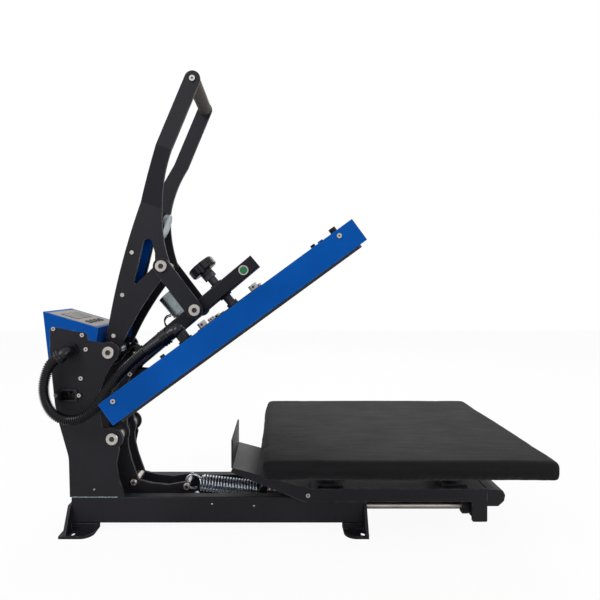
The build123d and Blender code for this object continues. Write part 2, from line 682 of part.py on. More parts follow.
def links():
    """Two flat links outside the arms; each carries its own beam bolt."""
    bx, bz = LINK_PIN
    cx, cz = BEAM_PIN
    length = math.dist(LINK_PIN, BEAM_PIN)
    slope = math.degrees(math.atan2(cz - bz, cx - bx))
    middle = ((bx + cx) / 2, (bz + cz) / 2)
    face = Pos(*middle) * Rot(0, 0, slope) * SlotCenterToCenter(length, LINK_WIDTH)
    link = slab(face, -LINK_OUTER, -LINK_INNER)
    link -= disc(LINK_PIN, LINK_PIN_RADIUS + RUNNING_GAP, -LINK_OUTER - 1, -LINK_INNER + 1)
    link -= disc(BEAM_PIN, LINK_PIN_RADIUS, -LINK_OUTER - 1, -LINK_INNER + 1)
    keep("links", *pair(link))
    bolt = disc(BEAM_PIN, LINK_PIN_RADIUS, -LINK_OUTER, -LINK_INNER)
    keep("link_bolts", *pair(bolt + socket_head(BEAM_PIN, -LINK_OUTER)))


def lever_face():
    """Swing lever: a nose at the head pin, a boss at the main hinge, a long foot to the spring."""
    hx, hz = HINGE
    px, pz = HEAD_PIN
    sx, sz = SPRING_PIN
    top_front = on_beam(BEAM_REAR, BEAM_HALF_HEIGHT)
    low_front = on_beam(BEAM_REAR, -BEAM_HALF_HEIGHT)
    points = [
        top_front,
        low_front,
        (px - 3.0, pz - 13.0),
        (hx + 12.0, hz + 60.0),
        (hx + 14.5, hz + 14.0),
        (hx + 16.5, hz - 24.0),
        (hx + 22.8, hz - 50.0),
        (hx + 35.2, hz - 85.0),
        (hx + 60.0, hz - 91.0),
        (hx + 90.0, hz - 94.0),
        (sx - 3.0, sz + 7.0),
        (sx + 2.0, sz - 7.0),
        (hx + 62.0, hz - 112.0),
        (hx + 22.0, hz - 112.0),
        (hx + 2.0, hz - 95.0),
        (hx - 15.0, hz - 30.0),
        (hx - 18.0, hz + 8.0),
        (hx - 15.0, hz + 60.0),
        on_beam(BEAM_REAR - 42.0, -6.0),
        on_beam(BEAM_REAR - 36.0, BEAM_HALF_HEIGHT),
    ]
    rounds = {3: 8.0, 5: 60.0, 6: 60.0, 8: 50.0, 12: 12.0, 13: 14.0, 14: 30.0, 17: 60.0, 18: 10.0, 19: 8.0}
    face = outline(points, rounds)
    face += Pos(hx, hz) * Circle(HINGE_RADIUS)
    return face + Pos(sx, sz) * Circle(BOLT_HEAD_RADIUS + 0.4)


def levers():
    lever = slab(lever_face(), -BEAM_HALF_WIDTH, -LEVER_INNER)
    lever -= disc(HINGE, MAIN_SHAFT_RADIUS + RUNNING_GAP, -BEAM_HALF_WIDTH - 1, 0)
    for centre, radius in ((SPRING_PIN, SPRING_PIN_RADIUS), (KNEE, KNEE_RADIUS), (HEAD_PIN, HEAD_PIN_RADIUS)):
        lever -= disc(centre, radius, -BEAM_HALF_WIDTH - 1, 0)
    keep("swing_lever_near", lever)
    keep("swing_lever_far", mirror(lever, Plane.XZ))
    spread = BEAM_HALF_WIDTH
    bolts = [ring(KNEE, 8.0, KNEE_RADIUS, -LEVER_INNER, LEVER_INNER)]
    bolts.append(disc(HEAD_PIN, HEAD_PIN_RADIUS, -spread, spread))
    for centre, radius in ((SPRING_PIN, SPRING_PIN_RADIUS), (KNEE, KNEE_RADIUS)):
        head = disc(centre, BOLT_HEAD_RADIUS, -spread - BOLT_HEAD_HEIGHT, -spread)
        head = chamfer(head.faces().sort_by(Axis.Y)[0].edges(), 1.5)
        bolts.append(disc(centre, radius, -spread, spread).fuse(*pair(head)))
    keep("lever_bolts", *bolts)


def beam():
    """Box-section beam with its end cap, link bosses, screw bush, magnet and button."""
    length = BEAM_FRONT - BEAM_REAR
    middle = Pos((BEAM_FRONT + BEAM_REAR) / 2, 0, 0)
    tube = Box(length, 2 * BEAM_HALF_WIDTH, BEAM_HEIGHT)
    tube = fillet(tube.edges().filter_by(Axis.X), 2.0)
    tube -= Box(length + 2, 2 * (BEAM_HALF_WIDTH - BEAM_WALL), BEAM_HEIGHT - 2 * BEAM_WALL)
    tube = middle * tube
    bush_bore = Pos(SCREW_ALONG, 0, 0) * Cylinder(BUSH_OUTER, 60)
    button_bore = Pos(BUTTON_ALONG, -BEAM_HALF_WIDTH, 0) * Rot(90, 0, 0) * Cylinder(BEZEL_NECK, 12)
    tube = tube - bush_bore - button_bore
    cap = Pos(BEAM_FRONT + 1.25, 0, 0) * Box(2.5, 2 * BEAM_HALF_WIDTH, BEAM_HEIGHT)
    plug = Pos(BEAM_FRONT - 4, 0, 0) * Box(8, 2 * (BEAM_HALF_WIDTH - BEAM_WALL), BEAM_HEIGHT - 2 * BEAM_WALL)
    keep("main_beam", BEAM_PLACE * tube, BEAM_PLACE * (cap + plug))
    boss = disc(BEAM_PIN, 11.0, -LINK_INNER + SIDE_GAP, -BEAM_HALF_WIDTH)
    bush = Cylinder(BUSH_OUTER, BEAM_HEIGHT + 6) - Cylinder(SCREW_RADIUS + RUNNING_GAP, 60)
    keep("beam_bosses", *pair(boss), BEAM_PLACE * Pos(SCREW_ALONG, 0, 0) * bush)
    foot_z = BEAM_HALF_HEIGHT
    base = Pos(-MAGNET_BACK, 0, foot_z + MAGNET_FLANGE / 2) * Cylinder(MAGNET_RADIUS - 3, MAGNET_FLANGE)
    can_height = MAGNET_HEIGHT - MAGNET_FLANGE
    can = Pos(-MAGNET_BACK, 0, foot_z + MAGNET_FLANGE + can_height / 2) * Cylinder(MAGNET_RADIUS, can_height)
    groove = Cylinder(MAGNET_RADIUS - 5, 2) - Cylinder(MAGNET_RADIUS - 8, 2)
    can -= Pos(-MAGNET_BACK, 0, foot_z + MAGNET_HEIGHT - 0.5) * groove
    keep("electromagnet", BEAM_PLACE * (base + can))
    near = -BEAM_HALF_WIDTH
    bezel = Pos(BUTTON_ALONG, near - 1.0, 0) * Rot(90, 0, 0) * Cylinder(BEZEL_RADIUS, 2.0)
    neck = Pos(BUTTON_ALONG, near + 7, 0) * Rot(90, 0, 0) * Cylinder(BEZEL_NECK, 14)
    well = Pos(BUTTON_ALONG, near + WELL_DEPTH - 7, 0) * Rot(90, 0, 0) * Cylinder(BUTTON_RADIUS + 0.3, 14)
    keep("button_bezel", BEAM_PLACE * (bezel + neck - well))
    front, back = near - 1.8, near + WELL_DEPTH - 2 * BUTTON_TRAVEL - 0.2
    dome = Pos(BUTTON_ALONG, (front + back) / 2, 0) * Rot(90, 0, 0) * Cylinder(BUTTON_RADIUS, back - front)
    dome = fillet(dome.faces().sort_by(Axis.Y)[0].edges(), 1.2)
    keep("button_cap", BEAM_PLACE * dome)


def pressure_screw():
    """Fluted knob on a long screw through the beam, with a swivel foot under it."""
    place = BEAM_PLACE * Pos(SCREW_ALONG, 0, 0)
    tip = -SCREW_TIP_BELOW
    knob_low = KNOB_CENTRE_ABOVE - KNOB_THICK / 2
    knob = Pos(0, 0, KNOB_CENTRE_ABOVE) * Cylinder(KNOB_RADIUS, KNOB_THICK)
    knob = chamfer(knob.edges().filter_by(GeomType.CIRCLE), 2.5)
    flutes = PolarLocations(KNOB_RADIUS + 1.5, 8) * Cylinder(5.0, KNOB_THICK + 2)
    knob -= [Pos(0, 0, KNOB_CENTRE_ABOVE) * flute for flute in flutes]
    hub = Pos(0, 0, knob_low - 4) * Cylinder(12.0, 8.0)
    knob = knob + hub - Pos(0, 0, knob_low) * Cylinder(SCREW_RADIUS, 24)
    keep("pressure_knob", place * knob)
    nut = extrude(Plane.XY.offset(knob_low - 16) * RegularPolygon(12.0, 6), amount=8)
    nut -= Pos(0, 0, knob_low) * Cylinder(SCREW_RADIUS, 60)
    low, high = tip + FOOT_DISC_HEIGHT - 3, knob_low + 12
    screw = Pos(0, 0, (low + high) / 2) * Cylinder(SCREW_RADIUS, high - low)
    keep("pressure_spindle", place * screw, place * nut)
    shoe = Pos(0, 0, tip + FOOT_DISC_HEIGHT / 2) * Cylinder(FOOT_DISC_RADIUS, FOOT_DISC_HEIGHT)
    shoe -= Pos(0, 0, tip + FOOT_DISC_HEIGHT) * Cylinder(SCREW_RADIUS + RUNNING_GAP, 6.0)
    keep("swivel_foot", place * chamfer(shoe.edges().filter_by(GeomType.CIRCLE).group_by(Axis.Z)[0], 1.0))


def heat_head():
    """Blue sheet cover over the insulation and the cast heating platen."""
    cover = block(0, HEAD_LENGTH, -HEAD_HALF, HEAD_HALF, -HEAD_HEIGHT, 0)
    far_end, side = HEAD_LENGTH - HEAD_SHEET, HEAD_HALF - HEAD_SHEET
    inside = block(HEAD_SHEET, far_end, -side, side, -2 * HEAD_HEIGHT, -HEAD_SHEET)
    cover = fillet(cover.edges().filter_by(Axis.Z), 2.5) - inside
    window = Pos(SEAT_ALONG, 0, 0) * Cylinder(SCREW_WINDOW, 2 * HEAD_HEIGHT)
    wire_hole = Pos(ELBOW_ALONG, ELBOW_Y, 0) * Cylinder(7.0, 20)
    keep("head_cover", HEAD_PLACE * (cover - window - wire_hole))
    bottom = -HEAD_HEIGHT - HEATER_PROUD
    top = bottom + HEATER_THICK
    edge, half = HEATER_INSET, HEAD_HALF - HEATER_INSET
    platen = block(edge, HEAD_LENGTH - edge, -half, half, bottom, top)
    platen = fillet(platen.edges().filter_by(Axis.Z), 6.0)
    seat = Pos(SEAT_ALONG, 0, top + SEAT_HEIGHT / 2) * Cylinder(SEAT_RADIUS, SEAT_HEIGHT)
    rib_end = edge + 20
    ribs = [block(rib_end, HEAD_LENGTH - rib_end, y - 3, y + 3, top, top + RIB_RISE) for y in RIB_ROWS]
    stud = Cylinder(STUD_RADIUS, -HEAD_SHEET - top)
    studs = [Pos(along, y, (top - HEAD_SHEET) / 2) * stud for along, y in STUDS]
    keep("heating_platen", HEAD_PLACE * platen.fuse(seat, *ribs, *studs))
    wool_low = top + RIB_RISE + 0.5
    wool = block(edge + 4, HEAD_LENGTH - edge - 4, -half, half, wool_low, wool_low + INSULATION)
    deep = 4 * HEAD_HEIGHT
    hole = Pos(SEAT_ALONG, 0, 0) * Cylinder(SCREW_WINDOW, deep)
    wire = Pos(ELBOW_ALONG, ELBOW_Y, 0) * Cylinder(9.0, deep)
    stud_holes = [Pos(along, y, 0) * Cylinder(STUD_RADIUS + 1, deep) for along, y in STUDS]
    keep("insulation_board", HEAD_PLACE * (wool - hole - wire - stud_holes))
    pin = (HEAD_PIN_ALONG, HEAD_PIN_UP)
    cheek = outline([moved(pin, step) for step in ((-3.5, -12.0), (26.0, -12.0), (6.0, 5.0), (-6.0, 0.0))])
    cheek += Pos(*pin) * Circle(2 * HEAD_PIN_RADIUS)
    lug = slab(cheek, -LUG_OUTER, -LUG_INNER) - disc(pin, HEAD_PIN_RADIUS + RUNNING_GAP, -LUG_OUTER - 1, 0)
    lugs = pair(lug)
    strap = block(HEAD_PIN_ALONG - 3.5, HEAD_PIN_ALONG + 60, -LUG_OUTER - 2, LUG_OUTER + 2, 0, 2.5)
    keep("head_hinge_bracket", HEAD_PLACE * strap.fuse(*lugs))
    keep("head_fasteners", *side_screws(), *top_nuts())
    keep("head_straps", *top_straps())


def side_screws():
    heads = []
    for along in (22.0, HEAD_LENGTH - 30.0):
        head = disc((along, -9.0), 3.6, -HEAD_HALF - 2.0, -HEAD_HALF)
        heads += pair(HEAD_PLACE * head)
    return heads


def top_nuts():
    """Hexagon nuts and cap screws that hold the platen up under the cover."""
    nuts = []
    for along, side, radius, height in NUT_PLACES:
        nut = extrude(RegularPolygon(radius, 6), amount=height)
        nuts.append(HEAD_PLACE * Pos(along, side, STRAP_THICK if abs(side) > 60 else 0) * nut)
    return nuts


def top_straps():
    """Two stiffening straps across the cover, and the black screw heads at its corners."""
    straps = [HEAD_PLACE * block(165, 292, middle - 22, middle + 22, 0, STRAP_THICK) for middle in (-98, 98)]
    for along, side, radius, height in TOP_SCREWS:
        for sign in (-1, 1):
            straps.append(HEAD_PLACE * Pos(along, sign * side, height / 2) * Cylinder(radius, height))
    return straps


def head_elbow():
    """Elbow fitting that takes the conduit into the cover."""
    foot_point, knee_point, mouth = elbow_points()
    path = FilletPolyline(foot_point, knee_point, mouth, radius=12.0)
    body = sweep(Plane(foot_point, z_dir=path % 0) * Circle(10.0), path=path)
    collar = HEAD_PLACE * Pos(ELBOW_ALONG, ELBOW_Y, 0) * extrude(RegularPolygon(13.0, 6), amount=5)
    direction = (Vector(*mouth) - Vector(*knee_point)).normalized()
    nut_start = Vector(*mouth) - direction * 14
    nut = extrude(Plane(nut_start, z_dir=direction) * Circle(12.5), amount=14)
    cuff_end = Vector(*mouth) + direction * CUFF_LENGTH
    cuff = extrude(Plane(mouth, z_dir=direction) * Circle(CONDUIT_RADIUS), amount=CUFF_LENGTH)
    keep("conduit_elbow", body + collar + nut + cuff)
    return cuff_end, cuff_end + direction * CONDUIT_END_RUN


def elbow_points():
    along, up = ELBOW_ALONG, 0.0
    foot_xz = on_head(along, up)
    knee_xz = on_head(along, 26.0)
    slope = 215.0
    mouth_xz = moved(knee_xz, turned((32.0, 0), slope))
    return [(x, ELBOW_Y, z) for x, z in (foot_xz, knee_xz, mouth_xz)]


def plate_gland():
    """Elbow gland in the near side plate; it turns the conduit down and to the rear."""
    x, z = GLAND
    nut = slab(Pos(x, z) * RegularPolygon(13.0, 6), -BASE_HALF - 5, -BASE_HALF)
    neck = disc((x, z), GLAND_BORE, -BASE_HALF, -PLATE_INNER + BOX_WALL + 8)
    knee = (x, -BASE_HALF - GLAND_REACH, z)
    turn = Vector(*GLAND_TURN).normalized()
    mouth = Vector(*knee) + turn * GLAND_NECK
    path = FilletPolyline((x, -BASE_HALF, z), knee, tuple(mouth), radius=12.0)
    body = sweep(Plane(path @ 0, z_dir=path % 0) * Circle(9.5), path=path)
    collar = extrude(Plane(mouth, z_dir=path % 1) * Circle(11.0), amount=-9)
    keep("conduit_gland", nut + neck + body + collar)
    return mouth, mouth + turn * CONDUIT_START_RUN


def biarc(p0, t0, p1, t1):
    """Two tangent arcs from p0 along t0 to p1 along t1."""
    chord, total = p1 - p0, t0 + t1
    a = total.dot(total) - 4.0
    b = -2.0 * chord.dot(total)
    c = chord.dot(chord)
    if abs(a) < 1e-9:
        reach = -c / b
    else:
        reach = (-b - math.sqrt(b * b - 4 * a * c)) / (2 * a)
    q0, q1 = p0 + t0 * reach, p1 - t1 * reach
    joint = (q0 + q1) * 0.5
    return [tangent_arc(p0, q0, joint), tangent_arc(joint, q1, p1)]


def tangent_arc(start, corner, end):
    middle = (start + end) * 0.5
    rise = corner - middle
    half = (end - start).length / 2
    turn = math.atan2(rise.length, half)
    return ThreePointArc(start, middle + rise * (half * math.tan(turn / 2) / rise.length), end)


def spring_knots():
    """Points and directions along the wire: rear loop, coils, front loop."""
    x, z = turned((1, 0), -SPRING_SLOPE)
    axis, up = Vector(x, 0, z), Vector(-z, 0, x)
    side = Vector(0, -1, 0)
    start = Vector(COIL_START[0], 0, COIL_START[1])
    length = SPRING_TURNS * SPRING_PITCH
    knots = []

    def on_loop(centre, degrees, way):
        angle = math.radians(degrees)
        point = centre + (axis * math.cos(angle) + up * math.sin(angle)) * LOOP_RADIUS
        tangent = (axis * -math.sin(angle) + up * math.cos(angle)) * way
        knots.append((point, tangent))

    rear = start - axis * HOOK_LENGTH
    for degrees in (-45, -90, -180, -270):
        on_loop(rear, degrees, -1)
    for quarter in range(4 * SPRING_TURNS + 1):
        angle = math.pi / 2 * (quarter + 1)
        radial = up * math.cos(angle) + side * math.sin(angle)
        ahead = up * -math.sin(angle) + side * math.cos(angle)
        point = start + axis * (length * quarter / (4 * SPRING_TURNS)) + radial * SPRING_RADIUS
        tangent = ahead * (2 * math.pi * SPRING_RADIUS) + axis * SPRING_PITCH
        knots.append((point, tangent.normalized()))
    front = start + axis * (length + HOOK_LENGTH)
    for degrees in (90, 0, -90, -135):
        on_loop(front, degrees, -1)
    return knots


def extension_spring():
    knots = spring_knots()
    arcs = []
    for (p0, t0), (p1, t1) in zip(knots, knots[1:]):
        arcs += biarc(p0, t0, p1, t1)
    path = Wire(arcs)
    section = Plane(knots[0][0], z_dir=knots[0][1]) * RegularPolygon(SPRING_WIRE / 2, WIRE_SIDES)
    spring = sweep(section, path=path)
    keep("extension_spring", spring)
    samples = [path @ (i / 1500) for i in range(1501)]
    steps = int(SPRING_WIRE * 3 / (path.length / 1500)) + 1
    least = min(
        (samples[i] - samples[j]).length for i in range(0, 1501, 3) for j in range(i + steps, 1501, 2)
    )
    print("spring wire gap to itself", round(least - SPRING_WIRE, 2), "volume", round(spring.volume),
          "section by length", round(section.area * path.length))


def spring_anchor():
    """Eye bolt in the rear bearing block that the spring's front loop hooks on."""
    x, z = ANCHOR
    eye = Pos(x, 0, z) * Rot(90, 0, 0) * Cylinder(ANCHOR_PIN, 26)
    plate_x = 5.0
    arms = []
    for side in (-1, 1):
        arms.append(block(x - 5, plate_x, side * 11.5 - 1.5, side * 11.5 + 1.5, z - 5, z + 5))
    flange = block(plate_x - 3, plate_x, -13, 13, z - 8, z + 8)
    shank = round_bar((plate_x, 0, z), (plate_x + BUSH_LENGTH + 4, 0, z), ANCHOR_BOLT)
    nut = extrude(Plane((plate_x + BUSH_LENGTH, 0, z), z_dir=(1, 0, 0)) * RegularPolygon(7.5, 6), amount=6)
    keep("spring_anchor", eye.fuse(flange, shank, *arms), nut - shank)


def drawer():
    """Sheet carriage: two flanks, a bent deck with its ramp and upright, and a front plate."""
    low = DECK_TOP - FLANK_DEPTH
    ramp_top = DECK_TOP + RAMP_RISE
    flank_points = [
        (DECK_REAR, ramp_top),
        (RAMP_FRONT, DECK_TOP),
        (FLANK_FRONT, DECK_TOP),
        (FLANK_FRONT, DECK_TOP - LEG_DROP),
        (FLANK_FRONT - LEG_WIDTH, DECK_TOP - LEG_DROP),
        (FLANK_FRONT - LEG_WIDTH, low),
        (40.0, low),
        (DECK_REAR - 3.5, ramp_top - 7.5),
    ]
    flank = slab(outline(flank_points, {3: 2.5, 4: 2.5}), -FLANK_OUTER, -FLANK_INNER)
    keep("flank_near", flank)
    keep("flank_far", mirror(flank, Plane.XZ))
    t = DECK_SHEET
    profile = [
        (DECK_REAR, ramp_top + UPRIGHT_HEIGHT),
        (DECK_REAR, ramp_top),
        (RAMP_FRONT, DECK_TOP),
        (DECK_FRONT, DECK_TOP),
        (DECK_FRONT, DECK_TOP - t),
        (RAMP_FRONT - 0.4, DECK_TOP - t),
        (DECK_REAR - t, ramp_top - t * 0.7),
        (DECK_REAR - t, ramp_top + UPRIGHT_HEIGHT),
    ]
    keep("drawer_deck", slab(outline(profile), -FLANK_INNER, FLANK_INNER))
    plate_x = FLANK_FRONT - LEG_WIDTH + FRONT_PLATE_BACK
    front = block(plate_x, plate_x + 5, -FLANK_INNER, FLANK_INNER, DECK_TOP - LEG_DROP, DECK_TOP - t)
    rods, bumpers, nuts = [], [], []
    rod_rear = -2.0
    for side in (-1, 1):
        y = side * ROD_OUT
        rod = round_bar((rod_rear, y, ROD_Z), (plate_x + 12, y, ROD_Z), ROD_RADIUS)
        rod = chamfer(rod.edges().filter_by(GeomType.CIRCLE), 1.0)
        rods.append(rod)
        front -= round_bar((plate_x - 1, y, ROD_Z), (plate_x + 6, y, ROD_Z), ROD_RADIUS)
        bumper = round_bar((plate_x - BUMPER_LENGTH, y, ROD_Z), (plate_x, y, ROD_Z), BUMPER_RADIUS)
        bumper = chamfer(bumper.edges().filter_by(GeomType.CIRCLE), 2.0)
        bumpers.append(bumper - round_bar((plate_x - 20, y, ROD_Z), (plate_x + 1, y, ROD_Z), ROD_RADIUS))
        nut = extrude(Plane((plate_x + 5, y, ROD_Z), z_dir=(1, 0, 0)) * RegularPolygon(10.0, 6), amount=6)
        nuts.append(nut - round_bar((plate_x, y, ROD_Z), (plate_x + 20, y, ROD_Z), ROD_RADIUS))
    keep("drawer_front_plate", front)
    keep("guide_rods", *rods, *nuts)
    keep("rod_bumpers", *bumpers)
    section = [
        (FLANK_FRONT, DECK_TOP - 1.0), (FLANK_FRONT + 15, DECK_TOP - 1.0), (FLANK_FRONT + 27, DECK_TOP - 3.0),
        (FLANK_FRONT + PULL_DEPTH, DECK_TOP - 11.0), (FLANK_FRONT + PULL_DEPTH - 2, DECK_TOP - 21.0),
        (FLANK_FRONT + 19, DECK_TOP - 1.0 - PULL_HEIGHT), (FLANK_FRONT, DECK_TOP - 1.0 - PULL_HEIGHT),
    ]
    cheek = outline(section, {2: 4.0, 3: 5.0, 4: 3.0, 5: 4.0})
    strip = cheek - offset(cheek, -PULL_SHEET)
    strip &= Pos(FLANK_FRONT + PULL_GAP + 50, DECK_TOP - 7.0) * Rectangle(100, 14.0)
    cheeks = pair(slab(cheek, -FLANK_OUTER + 1.0, -FLANK_INNER))
    keep("pull_bar", slab(strip, -FLANK_INNER, FLANK_INNER).fuse(*cheeks))


def posts():
    """Four flanged posts that carry the lower platen on the deck."""
    group = []
    top = PLATEN_LOW
    for x in (85.0, 300.0):
        for y in (-42.0, 42.0):
            tube = Pos(x, y, (DECK_TOP + top) / 2) * Cylinder(POST_RADIUS, top - DECK_TOP)
            low = block(x - 22, x + 22, y - 22, y + 22, DECK_TOP, DECK_TOP + 4)
            high = block(x - 30, x + 30, y - 22, y + 22, top - 4, top)
            group.append(tube + low + high)
    keep("platen_posts", *group)
    bolts = pair(disc((46.0, DECK_TOP - 11.0), 3.6, -FLANK_OUTER - 2, -FLANK_OUTER))
    for x in (67.0, 103.0, 282.0, 318.0):
        for y in (-42.0, 42.0):
            bolts.append(extrude(Plane((x, y, DECK_TOP + 4)) * RegularPolygon(4.0, 6), amount=3))
    keep("drawer_screws", *bolts)


def lower_platen():
    """Plate, silicone pad and a fitted cloth cover with a low crown and drawn-in sides."""
    centre = PAD_REAR + PAD_LENGTH / 2
    bottom = PAD_TOP - PAD_HEIGHT
    length, width = PAD_LENGTH - 2 * PLATEN_INSET, 2 * (PAD_HALF - PLATEN_INSET)
    plate = extrude(Plane((centre, 0, PLATEN_LOW)) * RectangleRounded(length, width, 8), amount=PLATEN_THICK)
    keep("lower_platen", plate)
    silicone_low = PLATEN_LOW + PLATEN_THICK
    mat = Plane((centre, 0, silicone_low)) * RectangleRounded(length, width, 8)
    keep("silicone_pad", extrude(mat, amount=SILICONE_THICK))
    full = PAD_LENGTH, 2 * PAD_HALF
    levels = [(0.0, 7.0, 10.0), (7.0, 1.5, 10.0), (17.0, 0.0, 10.0), (PAD_HEIGHT - 4.0, 3.0, 10.0),
              (PAD_HEIGHT - 1.8, 12.0, 12.0), (PAD_HEIGHT, 150.0, 40.0)]
    sections = [
        Plane((centre, 0, bottom + up)) * RectangleRounded(full[0] - draw, full[1] - draw, corner)
        for up, draw, corner in levels
    ]
    cloth = loft(sections, ruled=True)
    inside = extrude(
        Plane((centre, 0, bottom - 1)) * RectangleRounded(length, width, 8),
        amount=silicone_low + SILICONE_THICK - bottom + 1,
    )
    keep("pad_cover", cloth - inside)


def conduit_route():
    """Centre points of the conduit between the plate gland and the elbow's cuff."""
    return [
        (-395.0, -89.5, 279.0),
        (-399.0, -91.5, 257.0),
        (-396.0, -92.0, 232.5),
        (-384.0, -92.0, 211.0),
        (-363.0, -92.0, 200.0),
        (-340.0, -92.0, 202.0),
        (-321.5, -92.5, 215.5),
        (-308.0, -93.5, 236.0),
        (-293.5, -95.5, 259.5),
        (-275.0, -98.0, 280.0),
        (-253.5, -99.7, 297.5),
    ]


def corner_radii(points):
    """Each corner's arc: 0.45 of its shorter run over the tangent of half its turn."""
    radii = []
    for before, corner, after in zip(points, points[1:], points[2:]):
        run_in, run_out = Vector(*corner) - Vector(*before), Vector(*after) - Vector(*corner)
        turn = math.radians(run_in.get_angle(run_out))
        radii.append(0.45 * min(run_in.length, run_out.length) / math.tan(turn / 2))
    return radii


def conduit(start, end):
    """Corrugated conduit with its bore; ribs stand square to its centre line."""
    points = [tuple(point) for point in start] + conduit_route() + [tuple(point) for point in reversed(end)]
    radii = corner_radii(points)
    print("conduit corner radii", [round(radius, 1) for radius in radii])
    path = FilletPolyline(*points, radius=radii)
    print("conduit length", round(path.length, 1))
    count = RIB_COUNT
    pitch = path.length / count
    sections = []
    crest, root = CONDUIT_RADIUS, CONDUIT_RADIUS - RIB_DEPTH

    def station(distance, radius):
        t = min(max(distance / path.length, 0.0), 1.0)
        tangent = path % t
        across = Vector(0, 1, 0)
        return Plane(path @ t, x_dir=across - tangent * across.dot(tangent), z_dir=tangent) * Circle(radius)

    for index in range(count):
        start = index * pitch
        for share, radius in ((0.0, root), (0.2, crest), (0.55, crest), (0.75, root)):
            sections.append(station(start + share * pitch, radius))
    sections.append(station(path.length, root))
    hose = loft(sections, ruled=True)
    bore = sweep(Plane(path @ 0, z_dir=path % 0) * Circle(CONDUIT_BORE), path=path)
    hose -= bore
    keep("power_conduit", hose)
    print("conduit volume", round(hose.volume))


def magnet_leads():
    """Two insulated wires from the magnet's rim into the beam, and the gland behind them."""
    wires = [beam_gland()]
    for y, lift in ((-9.0, 0.0), (-3.0, 3.0)):
        start = on_beam(-MAGNET_BACK - MAGNET_RADIUS, BEAM_HALF_HEIGHT + 9.0 + lift)
        out = on_beam(-MAGNET_BACK - MAGNET_RADIUS - 8.0, BEAM_HALF_HEIGHT + 13.0 + lift)
        turn = on_beam(-MAGNET_BACK - MAGNET_RADIUS - 17.0, BEAM_HALF_HEIGHT + 9.0 + lift)
        end = on_beam(-MAGNET_BACK - MAGNET_RADIUS - 20.0, BEAM_HALF_HEIGHT)
        points = [(x, y, z) for x, z in (start, out, turn, end)]
        path = FilletPolyline(*points, radius=corner_radii(points))
        wire = sweep(Plane(path @ 0, z_dir=path % 0) * RegularPolygon(LEAD_RADIUS, 8), path=path)
        for piece in (PARTS["electromagnet"], PARTS["main_beam"]):
            wire -= piece
        wires.append(wire)
    keep("beam_wiring", *wires)


def beam_gland():
    """Small elbow gland on the beam's rear end for the cable of the magnet and button."""
    foot_xz, knee_xz = on_beam(GLAND_ALONG, BEAM_HALF_HEIGHT), on_beam(GLAND_ALONG, BEAM_HALF_HEIGHT + 13.0)
    mouth_xz = moved(knee_xz, turned((-CABLE_GLAND_REACH, 0), BEAM_SLOPE))
    path = FilletPolyline(*[(x, 0, z) for x, z in (foot_xz, knee_xz, mouth_xz)], radius=8.0)
    body = sweep(Plane(path @ 0, z_dir=path % 0) * Circle(6.5), path=path)
    nut = extrude(Plane(path @ 1, z_dir=path % 1) * Circle(8.5), amount=-8)
    collar = extrude(Plane(path @ 0, z_dir=path % 0) * RegularPolygon(9.0, 6), amount=4)
    return body + nut + collar


def beam_cable():
    """Slack cable from the control box to the beam's gland, between the side plates."""
    knee_xz = on_beam(GLAND_ALONG, BEAM_HALF_HEIGHT + 13.0)
    mouth_xz = moved(knee_xz, turned((-CABLE_GLAND_REACH, 0), BEAM_SLOPE))
    straight_xz = moved(mouth_xz, turned((-9.0, 0), BEAM_SLOPE))
    start = [(BOX_FRONT_WALL, 289.0), (BOX_FRONT_WALL + 12.0, 289.0), (-319.0, 281.0), (-303.0, 285.0)]
    plan = start + [straight_xz, mouth_xz]
    points = [(x, 0, z) for x, z in plan]
    radii = corner_radii(points)
    print("beam cable corner radii", [round(radius, 1) for radius in radii])
    path = FilletPolyline(*points, radius=radii)
    section = Plane(path @ 0, z_dir=path % 0) * RegularPolygon(CABLE_RADIUS, 12)
    cable = sweep(section, path=path)
    print("beam cable volume", round(cable.volume), "section by length", round(section.area * path.length))
    keep("beam_cable", cable)


os.makedirs("parts", exist_ok=True)
base_frame()
feet()
side_plates()
pivots()
control_box()
mains_inlet()
power_switch()
conduit_start = plate_gland()
handle()
handle_shroud()
armature()
links()
levers()
beam()
magnet_leads()
pressure_screw()
heat_head()
conduit(conduit_start, head_elbow())
beam_cable()
extension_spring()
spring_anchor()
drawer()
posts()
lower_platen()

for node, shape in PARTS.items():
    export_step(shape, f"parts/{node}.step")
print(len(PARTS), "nodes")
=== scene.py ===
# %% [markdown]
# # Dressing a slide-out heat press
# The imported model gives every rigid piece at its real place. This lesson adds the camera, the light, the
# finishes, and the soft pieces that a solid can't show: the padded cover, the corrugated conduit, the slack
# cable and the wound spring.

# %% Load the frame
import json
import math

import bmesh
import bpy
from mathutils import Matrix, Vector, noise


